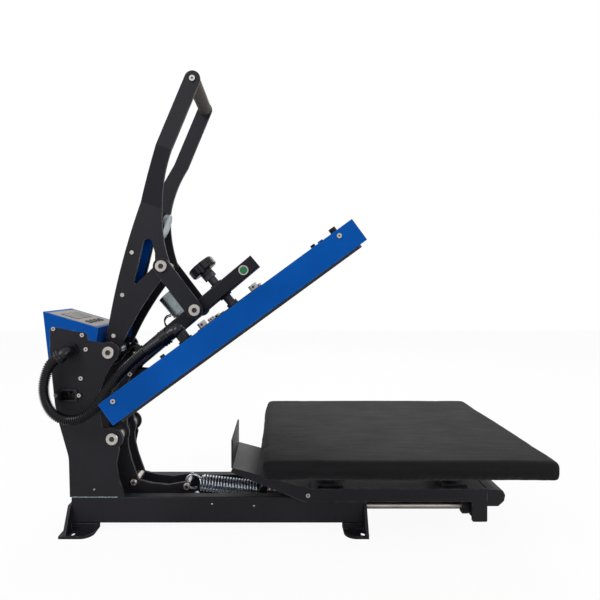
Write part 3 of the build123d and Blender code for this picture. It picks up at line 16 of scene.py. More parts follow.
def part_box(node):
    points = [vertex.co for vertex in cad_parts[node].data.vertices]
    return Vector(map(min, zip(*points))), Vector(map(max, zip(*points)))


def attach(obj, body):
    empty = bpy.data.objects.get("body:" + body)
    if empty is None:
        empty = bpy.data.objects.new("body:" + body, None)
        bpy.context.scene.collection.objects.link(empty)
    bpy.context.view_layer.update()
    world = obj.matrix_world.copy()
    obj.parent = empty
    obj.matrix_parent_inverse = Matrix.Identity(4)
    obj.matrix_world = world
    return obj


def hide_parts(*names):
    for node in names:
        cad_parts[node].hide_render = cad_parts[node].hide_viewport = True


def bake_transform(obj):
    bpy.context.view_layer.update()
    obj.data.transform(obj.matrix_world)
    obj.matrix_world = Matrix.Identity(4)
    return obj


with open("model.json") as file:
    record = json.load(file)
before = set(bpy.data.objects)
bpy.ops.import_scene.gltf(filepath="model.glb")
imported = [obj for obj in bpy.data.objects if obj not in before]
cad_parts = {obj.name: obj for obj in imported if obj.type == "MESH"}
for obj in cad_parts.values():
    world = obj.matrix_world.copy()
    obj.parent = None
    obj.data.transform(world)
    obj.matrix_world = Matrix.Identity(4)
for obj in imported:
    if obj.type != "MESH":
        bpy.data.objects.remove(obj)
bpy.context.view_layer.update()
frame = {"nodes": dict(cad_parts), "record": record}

# %% [markdown]
# ## Camera
# The press was photographed straight from its side, from about a metre away. A camera can be tilted to
# bring its subject into the frame, but then upright edges lean. Here the lens axis stays level and square
# to the press, and a small lens shift moves the picture instead: its centre lies a little right of and
# below the axis.

# %% Camera
camera = bpy.data.objects.new("side_camera", bpy.data.cameras.new("side_camera"))
bpy.context.collection.objects.link(camera)
camera.location = (-0.0035, -0.977, 0.427)
camera.rotation_euler = (math.pi / 2, 0, 0)
camera.data.sensor_width = 36.0
camera.data.lens = 31.68
camera.data.shift_x = 0.035
camera.data.shift_y = -0.025
camera.data.clip_start = 0.05
bpy.context.scene.camera = camera
print("camera distance", round(-camera.location.y, 3), "m, lens", camera.data.lens, "mm")

# %% [markdown]
# ## Shader maths as Python
# A finish is a tree of nodes. It could be wired up link by link, but a long list of links is hard to read
# as a recipe. `Wire` wraps a socket and turns + - * into Math nodes, so that a recipe reads as a sum.


# %% Wires
class Wire:
    """A socket that can stand in a sum."""
    def __init__(self, tree, socket):
        self.tree, self.socket = tree, socket

    def maths(self, operation, first, second):
        return self.tree.node("ShaderNodeMath", {"operation": operation}, {0: first, 1: second})

    def __add__(self, other):
        return self.maths("ADD", self, other)

    def __radd__(self, other):
        return self.maths("ADD", other, self)

    def __sub__(self, other):
        return self.maths("SUBTRACT", self, other)

    def __rsub__(self, other):
        return self.maths("SUBTRACT", other, self)

    def __mul__(self, other):
        return self.maths("MULTIPLY", self, other)

    def __rmul__(self, other):
        return self.maths("MULTIPLY", other, self)


# %% [markdown]
# ## Any other node
# A texture or a bump isn't a sum, so one method makes every other kind of node from its type, its settings
# and what its sockets get. It works for a material's tree and for the studio's background alike.


# %% Node trees
class Nodes:
    """A node tree that is built by calls."""
    def __init__(self, node_tree):
        self.node_tree = node_tree

    def node(self, kind, settings=None, inputs=None, output=0):
        made = self.node_tree.nodes.new(kind)
        for key, value in (settings or {}).items():
            setattr(made, key, value)
        for key, value in (inputs or {}).items():
            self.feed(made.inputs[key], value)
        return Wire(self, made.outputs[output])

    def feed(self, socket, value):
        """Links a wire, or sets a number, a vector or a colour of three numbers."""
        if isinstance(value, Wire):
            self.node_tree.links.new(value.socket, socket)
        elif socket.type == "RGBA":
            socket.default_value = (*value, 1)
        else:
            socket.default_value = value


# %% [markdown]
# ## What the finishes share
# Paint, metal, plastic and cloth differ in their recipes, but all of them need noise, a clamped ramp, a mix
# of two colours and a bump, and cut edges on all that is painted get a pale line, partly wear and partly a
# painted highlight. `Finish` is a material's tree with these patterns in it. They read object coordinates,
# so a grain stays on its piece when the press moves.

# %% Finishes
finishes = {}


class Finish(Nodes):
    """A material that is added to the list of finishes under its name."""
    def __init__(self, name, **sockets):
        self.material = bpy.data.materials.new(name)
        self.material.use_nodes = True
        super().__init__(self.material.node_tree)
        self.shader = self.node_tree.nodes["Principled BSDF"]
        self.place = self.node("ShaderNodeTexCoord", output="Object")
        for socket, value in sockets.items():
            self.set(socket.replace("_", " "), value)
        finishes[name] = self

    def set(self, socket, value):
        self.feed(self.shader.inputs[socket], value)

    def noise(self, scale, detail=3.0, stretch=(1, 1, 1)):
        place = self.node("ShaderNodeMapping", {}, {"Vector": self.place, "Scale": stretch})
        return self.node("ShaderNodeTexNoise", {}, {"Vector": place, "Scale": scale, "Detail": detail})

    def ramp(self, value, low, high):
        return self.node("ShaderNodeMapRange", {"clamp": True}, {0: value, 1: low, 2: high, 3: 0.0, 4: 1.0})

    def mix(self, share, first, second):
        return self.node("ShaderNodeMix", {"data_type": "RGBA"}, {0: share, 6: first, 7: second}, 2)

    def worn_and_lit_edges(self, radius):
        """1 along sharp outer edges and 0 on flat faces, broken up by noise: the pale line of wear and
        painted highlight.
        """
        soft = self.node("ShaderNodeBevel", {"samples": 4}, {"Radius": radius})
        true = self.node("ShaderNodeNewGeometry", output="Normal")
        match = self.node("ShaderNodeVectorMath", {"operation": "DOT_PRODUCT"}, {0: soft, 1: true}, "Value")
        return self.ramp(1.0 - match, 0.02, 0.2) * self.ramp(self.noise(60.0), 0.42, 0.62)

    def relief(self, height, depth):
        self.set("Normal", self.node("ShaderNodeBump", {}, {"Height": height, "Distance": depth}))


# %% [markdown]
# ## Powder coat
# The frame, arm and drawer are black powder-coated steel, and the head, shroud and control box are blue.
# Powder melts to a fine orange peel: a shallow bump a millimetre or two across. Handling polishes it in
# patches, so the roughness wanders. Along cut edges the coat thins to a paler line, and that pale line also
# stands in for a painted highlight along the edges. It could be painted for each piece, but a bevelled normal
# finds the cut edges of all of them by itself.


# %% Powder coat
def powder_coat(name, colour, edge, roughness, peel, specular=0.2):
    coat = Finish(name, Specular_IOR_Level=specular)
    patches = coat.ramp(coat.noise(9.0), 0.35, 0.7)
    tinted = coat.mix(patches * 0.5, colour, tuple(c * 1.5 + 0.002 for c in colour))
    # The edge colour is a pale line that is partly worn coat and partly painted highlight.
    coat.set("Base Color", coat.mix(coat.worn_and_lit_edges(0.0016) * 0.8, tinted, edge))
    speck = coat.noise(900.0, 1.0)
    coat.set("Roughness", roughness + patches * 0.1 + speck * 0.05)
    coat.relief(coat.noise(520.0, 2.0), peel)


# Each coat's edge colour is paler for worn coat and for a painted highlight as well.
powder_coat("black_paint", (0.0075, 0.0075, 0.0105), edge=(0.16, 0.16, 0.17), roughness=0.42, peel=0.00012)
powder_coat("blue_paint", (0.0, 0.056, 0.265), edge=(0.05, 0.2, 0.5), roughness=0.36, peel=0.00006,
            specular=0.06)
print("coats:", list(finishes))

# %% [markdown]
# ## Metals
# Screws, shafts and rods are zinc-plated steel. Turning leaves fine rings or lines. They could be cut into
# the mesh, but at a few hundredths of a millimetre they only show as gloss, so noise is stretched hard
# along one axis and drives the roughness and a very shallow bump. The heating and lower platens are cast
# aluminium, whose grain is coarser and has no direction.


# %% Metals
def drawn_metal(name, colour, roughness, stretch, dirt=0.35, depth=0.00004):
    metal = Finish(name, Metallic=1.0)
    lines = metal.noise(40.0, 6.0, stretch)
    stain = metal.ramp(metal.noise(30.0), 0.45, 0.75)
    metal.set("Base Color", metal.mix(stain * dirt, colour, tuple(c * 0.45 for c in colour)))
    metal.set("Roughness", roughness + lines * 0.18 + stain * 0.1)
    metal.relief(lines, depth)


drawn_metal("bright_steel", (0.5, 0.46, 0.43), 0.22, stretch=(1, 30, 1), dirt=0.5)
drawn_metal("zinc_steel", (0.26, 0.3, 0.315), 0.18, stretch=(6, 6, 6), dirt=0.7)
drawn_metal("bronze", (0.5, 0.34, 0.16), 0.4, stretch=(20, 1, 1))
drawn_metal("spring_steel", (0.46, 0.5, 0.56), 0.2, stretch=(4, 4, 4), dirt=0.4)
drawn_metal("dark_steel", (0.05, 0.05, 0.058), 0.35, stretch=(1, 1, 14))
drawn_metal("cast_aluminium", (0.68, 0.68, 0.67), 0.42, stretch=(1, 1, 1), dirt=0.2, depth=0.0001)
print("metals:", [name for name in finishes if name.endswith(("steel", "bronze", "aluminium"))])

# %% [markdown]
# ## Plastics, rubber and board
# Moulded parts carry an even spark-eroded grain. Rubber is rougher and slightly dusty, foam has open cells,
# and pressed mineral board is chalky. Each could have a material of its own, but they differ only in the
# grain's size and depth, the dust and the gloss, so one function makes them all.


# %% Plastics and rubber
def moulded(name, colour, roughness, grain=700.0, depth=0.00008, dust=0.15, specular=0.35):
    plastic = Finish(name, Specular_IOR_Level=specular)
    cloud = plastic.ramp(plastic.noise(14.0), 0.4, 0.75)
    plastic.set("Base Color", plastic.mix(cloud * dust, colour, tuple(c * 1.4 + 0.015 for c in colour)))
    plastic.set("Roughness", roughness + cloud * 0.12)
    plastic.relief(plastic.noise(grain, 2.0), depth)


moulded("black_plastic", (0.005, 0.005, 0.007), 0.26, depth=0.00001, dust=0.1, specular=0.3)
moulded("black_rubber", (0.018, 0.018, 0.019), 0.6, grain=450.0, depth=0.0001, dust=0.3)
moulded("black_coating", (0.012, 0.012, 0.013), 0.38, grain=300.0, depth=0.00006, dust=0.3)
moulded("silicone", (0.62, 0.2, 0.07), 0.55, grain=260.0, depth=0.0002)
moulded("grip_foam", (0.07, 0.06, 0.048), 0.75, grain=380.0, depth=0.0003, dust=0.5, specular=0.15)
moulded("button_green", (0.008, 0.2, 0.06), 0.2, grain=200.0, depth=0.00001, dust=0.1, specular=0.3)
moulded("mineral_board", (0.62, 0.58, 0.48), 0.9, grain=120.0, depth=0.0006)
moulded("panel_plastic", (0.25, 0.225, 0.195), 0.4, grain=900.0, depth=0.00002, dust=0.3, specular=0.2)
print(len(finishes), "finishes so far")

# %% [markdown]
# ## Woven cover
# The lower platen wears a black woven cover. Threads could be modelled, but at a millimetre each there
# would be hundreds both ways, so two wave textures at right angles make them: where one set rides up the
# other dips. The weave shows close up and reads as a soft matt black from a distance. A little sheen lifts
# the rim, as loose fibres do.


# %% Woven cover
def woven(name, colour, thread):
    cloth = Finish(name, Sheen_Weight=0.03, Sheen_Roughness=0.5, Specular_IOR_Level=0.07)
    bands = {"wave_type": "BANDS", "wave_profile": "SIN"}
    threads = {"Vector": cloth.place, "Scale": thread}
    warp = cloth.node("ShaderNodeTexWave", {**bands, "bands_direction": "X"}, threads, 1)
    weft = cloth.node("ShaderNodeTexWave", {**bands, "bands_direction": "Y"}, threads, 1)
    weave = warp * weft
    fade = cloth.ramp(cloth.noise(11.0, 4.0, (1, 1.6, 1)), 0.35, 0.7)
    streak = cloth.ramp(cloth.noise(60.0, 4.0, (0.3, 3, 1)), 0.35, 0.75)
    paler = fade * 0.25 + streak * 0.45 + weave * 0.3
    cloth.set("Base Color", cloth.mix(paler, colour, tuple(c * 2.0 for c in colour)))
    cloth.set("Roughness", 0.56 + fade * 0.06 + streak * 0.1)
    cloth.relief(weave * 0.4 + cloth.noise(90.0) * 0.5 + streak * 0.3, 0.00035)


THREAD_SCALE = 290.0
woven("pad_cloth", (0.0042, 0.0038, 0.0044), THREAD_SCALE)
print("one thread every", round(math.pi / 10 / THREAD_SCALE, 5), "m")

# %% [markdown]
# ## Finishes on the solids
# The record names a slot for each solid of the press, such as its black paint or its bright steel. Finishes
# could be given by hand, piece by piece, but they have the slots' names, so one loop does it.

# %% Put the finishes on the solids
for entry in frame["record"]["subparts"]:
    node = frame["nodes"][entry["node"]]
    node.data.materials.clear()
    node.data.materials.append(finishes[entry["material_slot"]].material)
print(len(finishes), "finishes on", len(frame["nodes"]), "solids")

# %% [markdown]
# ## Helpers for new pieces
# Most new pieces start as a bmesh, get one finish and ride on the body that carries them; the conduit and the
# spring ride on none. A piece could be placed by moving its object, but the finishes' patterns would move
# with it. So a piece is built where it belongs, inside its mesh, and its object stays at the origin.


# %% Helpers
def mesh_from(bm, name):
    """Merges what lies in one place, turns the faces outwards and hands over the mesh."""
    bmesh.ops.remove_doubles(bm, verts=bm.verts, dist=0.00001)
    bmesh.ops.recalc_face_normals(bm, faces=bm.faces)
    mesh = bpy.data.meshes.new(name)
    bm.to_mesh(mesh)
    bm.free()
    return mesh


def add_object(name, data):
    made = bpy.data.objects.new(name, data)
    bpy.context.collection.objects.link(made)
    return made


def finish_piece(piece, finish, body, smooth=40.0):
    """Shades a piece smooth up to that angle, and gives it its finish and the body that it rides on."""
    piece.data.materials.append(finishes[finish].material)
    piece.data.shade_smooth()
    if smooth:
        piece.data.set_sharp_from_angle(angle=math.radians(smooth))
    if body:
        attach(piece, body)
    print(piece.name, "has", len(piece.data.polygons), "faces in", finish)
    return piece


def piece_from(bm, name, finish, body, smooth=40.0):
    return finish_piece(add_object(name, mesh_from(bm, name)), finish, body, smooth)


# %% [markdown]
# ## Padded cover
# A fitted cloth cover is stretched over the silicone pad and drawn in under the plate. A bevelled box alone
# would look like a tile. So a box with rounded corners is the start, and a cloth simulation blows it up a
# little, which gives the low crown and the soft rolled rim.

# %% Cover: the starting form
SWELL_ROOM = 0.001
CORNER_RADIUS = 0.008
RIM_RADIUS = 0.0075
low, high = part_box("pad_cover")
centre = (low + high) / 2
size = high - low


def runs_flat(edge):
    """Whether an edge is level."""
    return abs(edge.verts[0].co.z - edge.verts[1].co.z) < 1e-6


bm = bmesh.new()
bmesh.ops.create_cube(bm, size=1.0)
bmesh.ops.scale(bm, vec=(size.x - SWELL_ROOM, size.y - SWELL_ROOM, size.z - SWELL_ROOM), verts=bm.verts)
upright = [edge for edge in bm.edges if not runs_flat(edge)]
bmesh.ops.bevel(bm, geom=upright, offset=CORNER_RADIUS, segments=5, profile=0.5, affect="EDGES", material=-1)
rims = [edge for edge in bm.edges
        if runs_flat(edge) and any(abs(face.normal.z) > 0.9 for face in edge.link_faces)]
bmesh.ops.bevel(bm, geom=rims, offset=RIM_RADIUS, segments=4, profile=0.5, affect="EDGES", material=-1)
bmesh.ops.translate(bm, vec=centre, verts=bm.verts)
cover = piece_from(bm, "fitted_cover", "pad_cloth", None, 0)
print("cover starts at", [round(v, 4) for v in cover.dimensions])

# %% Cover: cloth simulation
GRID = 0.0045
PRESSURE = 2.5
FRAMES = 12
remesh = cover.modifiers.new("grid", "REMESH")
remesh.mode, remesh.voxel_size = "VOXEL", GRID
bpy.context.view_layer.objects.active = cover
bpy.ops.object.modifier_apply(modifier=remesh.name)
rest = [v.co.copy() for v in cover.data.vertices]
cloth = cover.modifiers.new("cloth", "CLOTH")
cloth.settings.use_pressure = True
cloth.settings.uniform_pressure_force = PRESSURE
cloth.settings.effector_weights.gravity = 0.0
cloth.settings.quality = 4
for step in range(1, FRAMES + 1):
    bpy.context.scene.frame_set(step)
bpy.ops.object.modifier_apply(modifier=cloth.name)
bpy.context.scene.frame_set(1)
print("cover has", len(rest), "points")

# %% [markdown]
# ## The cover's top and band
# The simulation knows nothing of the drawstring or of the plate's hard corners. Sculpting by hand would add
# them but couldn't be run again, so noise and sines move each point instead. The top lies nearly flat, the
# band has long soft folds, sharp pulls near the corners and fine gathers at its hem, and the sides stand
# off the plate as they do on the real press.


# %% Cover: how far each point moves
MOST_SWELL = 0.005
CROWN = 0.0005
RIM_DROP = 0.0004
CORNER_DROP = 0.0006
FOLD_DEPTH = 0.0022
PULL_DEPTH = 0.0052
GATHER_DEPTH = 0.0009
HEM_GATHERS = 120
BAND_START = 0.004
BAND_HEIGHT = size.z - 0.006


def shares(point):
    """Where a point lies on the plate: -1 to 1 from the near side to the far one, and from rear to front."""
    return (point.y - centre.y) / (size.y / 2), (point.x - centre.x) / (size.x / 2)


def swelling(point, start):
    """The cloth's own move, capped."""
    step = point - start
    if step.length > MOST_SWELL:
        step *= MOST_SWELL / step.length
    return start + step


def top_drop(across, along):
    """How far the top drops: less than nothing in the middle, which stands proud, and most at the corners."""
    return RIM_DROP * max(abs(across), abs(along)) ** 6 + CORNER_DROP * abs(across * along) ** 2 - CROWN


def gathers(point, lap, corner):
    """How far the side band is pulled in, more towards its hem."""
    down = max(0.0, min(1.0, (high.z - BAND_START - point.z) / BAND_HEIGHT))
    broad = noise.noise(Vector((point.x * 22, point.y * 22, point.z * 30)))
    sharp = abs(noise.noise(Vector((lap * 26, point.z * 35, 3.0))))
    fine = math.sin(lap * HEM_GATHERS + 3 * noise.noise(Vector((lap * 9, 0.0, 0.0))))
    pull = FOLD_DEPTH * broad * down + PULL_DEPTH * sharp * down * (0.4 + corner)
    return pull + GATHER_DEPTH * fine * down ** 2


print("band", round(BAND_HEIGHT, 4), "m high, under a rim of", BAND_START, "m")

# %% Cover: shape the band and the top
TOP_RIPPLE = 0.0003
BAND_EDGE = 0.97
SIDES_LET_OUT = 1.042
FAR_SHIFT = 0.0022
NEAR_SAG = 0.0025
REAR_BOW = 0.0035
BAND_BULGE = 0.0022
BAND_DROOP = 0.0016
MOST_PROUD = 0.0015
MOST_LOW = 0.002
for vertex, start in zip(cover.data.vertices, rest):
    point = swelling(vertex.co, start)
    across, along = shares(start)
    edge, corner = max(abs(across), abs(along)), min(abs(across), abs(along)) ** 6
    lap = math.atan2(across, along)
    if start.z > centre.z:
        ripple = TOP_RIPPLE * noise.noise(Vector((start.x * 16, start.y * 16, 0.0)))
        lift = (start.z - centre.z) / (size.z / 2)
        point.z = min(point.z, high.z) + lift * (ripple - top_drop(across, along))
    if edge > BAND_EDGE:
        inward = Vector((centre.x - start.x, centre.y - start.y, 0)).normalized()
        point += inward * gathers(point, lap, corner)
        bulge = BAND_BULGE * math.sin(math.pi * max(0.0, min(1.0, (high.z - start.z) / size.z)))
        point -= inward * bulge * (1 - corner)
        wander = 0.7 + noise.noise(Vector((lap * 5, 1.0, 0.0)))
        point.z -= BAND_DROOP * wander * max(0.0, (centre.z - start.z) / size.z)
    point.x = min(max(point.x, low.x - MOST_PROUD), high.x + MOST_PROUD)
    point.y = min(max(point.y, low.y - MOST_PROUD), high.y + MOST_PROUD)
    point.z = max(point.z, low.z - MOST_LOW)
    point.z -= NEAR_SAG * max(0.0, -across) ** 6
    point.y = centre.y + (point.y - centre.y) * SIDES_LET_OUT + FAR_SHIFT
    if start.x < centre.x:
        point.x -= REAR_BOW * (1 - across ** 4) * min(1.0, max(0.0, -along) ** 8)
    vertex.co = point
print("cover's top at", round(max(vertex.co.z for vertex in cover.data.vertices), 5), "m")

# %% [markdown]
# ## The cover's hem
# Under the plate the real cover ends in a hem that a drawstring gathers, and the plate shows inside it. The
# simulated form is closed there. It could be left closed, but a drawer is looked at from low down too, so
# the faces inside the hem are cut away, the hem rises against the plate, and the cloth then gets its
# thickness.

# %% Cover: open the underside inside its hem, and give the cloth a thickness
HEM = 0.045
HEM_START = 0.009
HEM_SLOPE = 0.012
HEM_RISE = 0.0042
HEM_PUCKER = 0.0006
CLOTH_THICKNESS = 0.0012
bm = bmesh.new()
bm.from_mesh(cover.data)
middle = [face for face in bm.faces if face.normal.z < -0.9 and face.calc_center_median().z < centre.z
          and abs(face.calc_center_median().x - centre.x) < size.x / 2 - HEM
          and abs(face.calc_center_median().y - centre.y) < size.y / 2 - HEM]
bmesh.ops.delete(bm, geom=middle, context="FACES")
for vertex in bm.verts:
    inset = min(size.x / 2 - abs(vertex.co.x - centre.x), size.y / 2 - abs(vertex.co.y - centre.y))
    if vertex.co.z < centre.z and inset > HEM_START:
        lap = math.atan2(vertex.co.y - centre.y, vertex.co.x - centre.x)
        share = min(1.0, (inset - HEM_START) / HEM_SLOPE)
        vertex.co.z += share * (HEM_RISE - HEM_PUCKER * math.sin(lap * HEM_GATHERS))
bm.to_mesh(cover.data)
bm.free()
wall = cover.modifiers.new("cloth_thickness", "SOLIDIFY")
wall.thickness, wall.offset = CLOTH_THICKNESS, -1.0
smooth = cover.modifiers.new("round", "SUBSURF")
smooth.levels = smooth.render_levels = 1
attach(cover, "drawer")
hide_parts("pad_cover")
print("cover ends at", [round(v, 4) for v in cover.dimensions], "with", len(middle), "faces cut from below")

# %% [markdown]
# ## Corrugated conduit
# The heater's wires run in a black corrugated conduit that hangs in a loop between the control box's gland
# and the elbow on the head. Its line is one smooth spline through the air. Rings set one by one along it
# would gape at the bends, so the ribs are made straight, by spinning a zigzag profile, and a Curve modifier
# then bends that straight hose along the spline.


# %% Helpers for a line
def shown_mesh(shape):
    """What the modifiers or the bevel of an object make of it, as a mesh."""
    bpy.context.view_layer.update()
    return bpy.data.meshes.new_from_object(shape.evaluated_get(bpy.context.evaluated_depsgraph_get()))


def smooth_line(name, points):
    """A smooth curve that has the route's points, given in millimetres, as its control points."""
    curve = bpy.data.curves.new(name, "CURVE")
    curve.dimensions = "3D"
    spline = curve.splines.new("NURBS")
    spline.points.add(len(points) - 1)
    for control, point in zip(spline.points, points):
        control.co = (*[value / 1000 for value in point], 1)
    spline.order_u = 3
    spline.use_endpoint_u = True
    spline.resolution_u = 24
    return add_object(name, curve)


def line_points(line):
    """The points that a curve passes through, read from its own spline."""
    mesh = shown_mesh(line)
    points = [vertex.co.copy() for vertex in mesh.vertices]
    bpy.data.meshes.remove(mesh)
    return points


def length_of(points):
    return sum((b - a).length for a, b in zip(points, points[1:]))


# %% Conduit: its line and its profile
CONDUIT_ROUTE = [
    (-376.5, -87.5, 303.7), (-388.8, -87.5, 295.2), (-395.0, -89.5, 279.0), (-399.0, -91.5, 257.0),
    (-396.0, -92.0, 232.5), (-384.0, -92.0, 211.0), (-363.0, -92.0, 200.0), (-339.0, -92.0, 201.0),
    (-318.5, -92.5, 213.0), (-303.0, -93.5, 232.0), (-288.0, -95.5, 254.5), (-270.5, -98.0, 275.5),
    (-251.5, -99.7, 294.5), (-232.0, -100.0, 311.6), (-216.6, -100.0, 323.1),
]
CONDUIT_RADIUS = 0.0086
RIB_DEPTH = 0.0019
RIB_PITCH = 0.0034
CUFF = 0.012
CUFF_STEP = 0.0004
CUFF_SLOPE = 0.0008
MOUTH_WALL = 0.0012
MOUTH_DEPTH = 0.004
conduit_line = smooth_line("conduit_line", CONDUIT_ROUTE)
conduit_points = line_points(conduit_line)
conduit_length = length_of(conduit_points)
ribs = round((conduit_length - CUFF) / RIB_PITCH)
pitch = (conduit_length - CUFF) / ribs
crest, root, cuff = CONDUIT_RADIUS, CONDUIT_RADIUS - RIB_DEPTH, CONDUIT_RADIUS - CUFF_STEP
profile = [(0, 0)]
for rib in range(ribs):
    for share, radius in ((0.0, root), (0.28, root), (0.45, crest), (0.82, crest)):
        profile.append((radius, (rib + share) * pitch))
profile += [(root, ribs * pitch), (cuff, ribs * pitch + CUFF_SLOPE), (cuff, conduit_length),
            (crest - MOUTH_WALL, conduit_length - MOUTH_DEPTH), (0, conduit_length - MOUTH_DEPTH)]
print("conduit", round(conduit_length, 4), "m with", ribs, "ribs")


# %% Conduit: the lathe and the bend
def move_new(bm, before, place):
    """Moves the vertices that weren't in the bmesh before."""
    bmesh.ops.transform(bm, matrix=place, verts=[vertex for vertex in bm.verts if vertex not in before])


def turned_shape(bm, profile, place, steps=32):
    """A lathe: (radius, height) points spun round the local Z axis, then moved to their place."""
    before = set(bm.verts)
    verts = [bm.verts.new((r, 0, z)) for r, z in profile]
    edges = [bm.edges.new(pair) for pair in zip(verts, verts[1:])]
    bmesh.ops.spin(bm, geom=verts + edges, cent=(0, 0, 0), axis=(0, 0, 1), angle=2 * math.pi, steps=steps,
                   use_merge=True)
    move_new(bm, before, place)


def bend_along(bm, name, line, finish):
    """Bends a shape that was made along +X from the origin onto a curve."""
    straight = add_object(name + "_straight", mesh_from(bm, name))
    bend = straight.modifiers.new("bend", "CURVE")
    bend.object = line
    bend.deform_axis = "POS_X"
    bent = add_object(name, shown_mesh(straight))
    bpy.data.objects.remove(straight)
    bpy.data.objects.remove(line)
    return finish_piece(bent, finish, None, 60.0)


# %% Conduit: spun and bent
bm = bmesh.new()
turned_shape(bm, profile, Matrix.Rotation(math.radians(90), 4, "Y"), 20)
conduit = bend_along(bm, "corrugated_conduit", conduit_line, "black_plastic")
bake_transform(conduit)
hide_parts("power_conduit")

# %% [markdown]
# ## Slack cable to the beam
# A thinner round cable feeds the magnet and the release button. It leaves the control box between the side
# plates and dips below the handle's shaft before it meets the small elbow on the beam. It is smooth and
# round, so it needs no mesh of its own: the curve gets a round bevel and closed ends.

# %% Beam cable
BEAM_CABLE_ROUTE = [
    (-343.7, 0, 289.0), (-331.7, 0, 289.0), (-319.0, 0, 281.0), (-303.0, 0, 285.0), (-288.2, 0, 302.8),
    (-281.3, 0, 308.6),
]
cable = smooth_line("slack_cable", BEAM_CABLE_ROUTE)
cable_length = length_of(line_points(cable))
cable.data.bevel_depth = 0.0035
cable.data.bevel_resolution = 5
cable.data.use_fill_caps = True
cable.data.materials.append(finishes["black_plastic"].material)
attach(cable, "base")
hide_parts("beam_cable")
print("beam cable", round(cable_length, 4), "m")

# %% [markdown]
# ## Extension spring
# The return spring is drawn wire wound close, with a full loop at each end. A screw modifier could wind the
# coil, but not the loops and the bends between them. So the whole wire is one curve: the coil's points go
# once round for every step of the pitch, the loops are arcs, and a cubic leads from each loop into the
# coil. One loop hooks over the lever's pin. The spring is made once, in this pose, and rides on no body.

# %% Spring: its sizes
SPRING_SLOPE = math.radians(-6.8)
WIRE_RADIUS = 0.0018
COIL_RADIUS = 0.013
LOOP_RADIUS = 0.0126
PITCH = 0.0054
TURNS = 19
HOOK = 0.0166
PIN_RADIUS = 0.004
PIN_GAP = 0.0001
pin = Vector((-0.1696, 0, 0.0647))
axis = Vector((math.cos(SPRING_SLOPE), 0, math.sin(SPRING_SLOPE)))
rise = Vector((-math.sin(SPRING_SLOPE), 0, math.cos(SPRING_SLOPE)))
side = Vector((0, -1, 0))
coil_start = pin + axis * (LOOP_RADIUS - WIRE_RADIUS - PIN_GAP - PIN_RADIUS + HOOK)
rear_middle = coil_start - axis * HOOK
front_middle = coil_start + axis * (TURNS * PITCH + HOOK)
print("coil", round(TURNS * PITCH, 4), "m long, loops", round(2 * HOOK + TURNS * PITCH, 4), "m apart")


# %% Spring: the wire's line
def loop_point(middle, degrees):
    angle = math.radians(degrees)
    return middle + (axis * math.cos(angle) + rise * math.sin(angle)) * LOOP_RADIUS


def coil_point(turn):
    angle = 2 * math.pi * (turn + 0.25)
    return coil_start + axis * turn * PITCH + (rise * math.cos(angle) + side * math.sin(angle)) * COIL_RADIUS


def crossing(start, leaving, end, arriving, reach=0.011, steps=8):
    """The wire's way from a loop to the coil: a cubic that leaves and arrives along the given headings."""
    first, second = start + leaving * reach, end - arriving * reach
    path = []
    for step in range(1, steps):
        t = step / steps
        path.append(start * (1 - t) ** 3 + first * (3 * t * (1 - t) ** 2) + second * (3 * t ** 2 * (1 - t))
                    + end * t ** 3)
    return path


coil = [coil_point(step / 20) for step in range(20 * TURNS + 1)]
rear_loop = [loop_point(rear_middle, degrees) for degrees in range(-45, -271, -15)]
front_loop = [loop_point(front_middle, degrees) for degrees in range(90, -136, -15)]
wire_points = rear_loop + crossing(rear_loop[-1], axis, coil[0], -rise) + coil
wire_points += crossing(coil[-1], -rise, front_loop[0], axis) + front_loop
print("spring wire", round(length_of(wire_points), 3), "m")

# %% Spring: the wire itself
curve = bpy.data.curves.new("spring_wire", "CURVE")
curve.dimensions = "3D"
spline = curve.splines.new("POLY")
spline.points.add(len(wire_points) - 1)
for control, point in zip(spline.points, wire_points):
    control.co = (*point, 1)
curve.bevel_depth, curve.bevel_resolution, curve.use_fill_caps = WIRE_RADIUS, 3, True
wound = add_object("spring_wire", curve)
spring = add_object("return_spring", shown_mesh(wound))
bpy.data.objects.remove(wound)
finish_piece(spring, "spring_steel", None, 60.0)
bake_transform(spring)
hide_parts("extension_spring")

# %% [markdown]
# ## Ribs on the conduit's nuts
# Both ends of the conduit are held by plastic nuts with finger ribs, and the elbow on the head has a full
# round bend. The solids carry the plain nuts. A bump could draw the ribs, but they stand a millimetre proud
# and show in the outline, so each row is turned on the lathe over the last stretch of its nut. It is made
# upright at the origin, and `place_on` gives the matrix that lays it along the slanting nut, inside the
# mesh.

# %% Ribbed nuts and the elbow's bend
RIB_RISE = 0.0014
GROOVE = 0.0005
ELBOW_MOUTH = Vector((-0.1986, -0.1, 0.3359))
ELBOW_AXIS = Vector((-0.8192, 0, -0.5736))
ELBOW_BEND = (-0.1718, -0.1, 0.3508)
GLAND_MOUTH = Vector((-0.3765, -0.0875, 0.3037))
GLAND_AXIS = Vector((-0.82, 0, -0.57)).normalized()


def place_on(origin, along, normal):
    """The matrix that lays X along one heading and Z along a face's normal, at that origin."""
    along, normal = Vector(along).normalized(), Vector(normal).normalized()
    across = normal.cross(along)
    turn = Matrix((along, across, normal)).transposed().to_4x4()
    return Matrix.Translation(Vector(origin)) @ turn


def ribbed_ring(bm, mouth, heading, radius, length, count):
    """Rounded ribs over the last stretch of a nut, ending at its mouth."""
    step = length / count
    profile = [(0, 0), (radius - GROOVE, 0)]
    for rib in range(count):
        for share, lift in ((0.1, 0.0), (0.3, 0.8), (0.5, 1.0), (0.7, 0.8), (0.9, 0.0)):
            profile.append((radius + lift * RIB_RISE, (rib + share) * step))
    profile += [(radius - GROOVE, length), (0, length)]
    turned_shape(bm, profile, place_on(mouth - heading * length, (0, 1, 0), heading), 36)


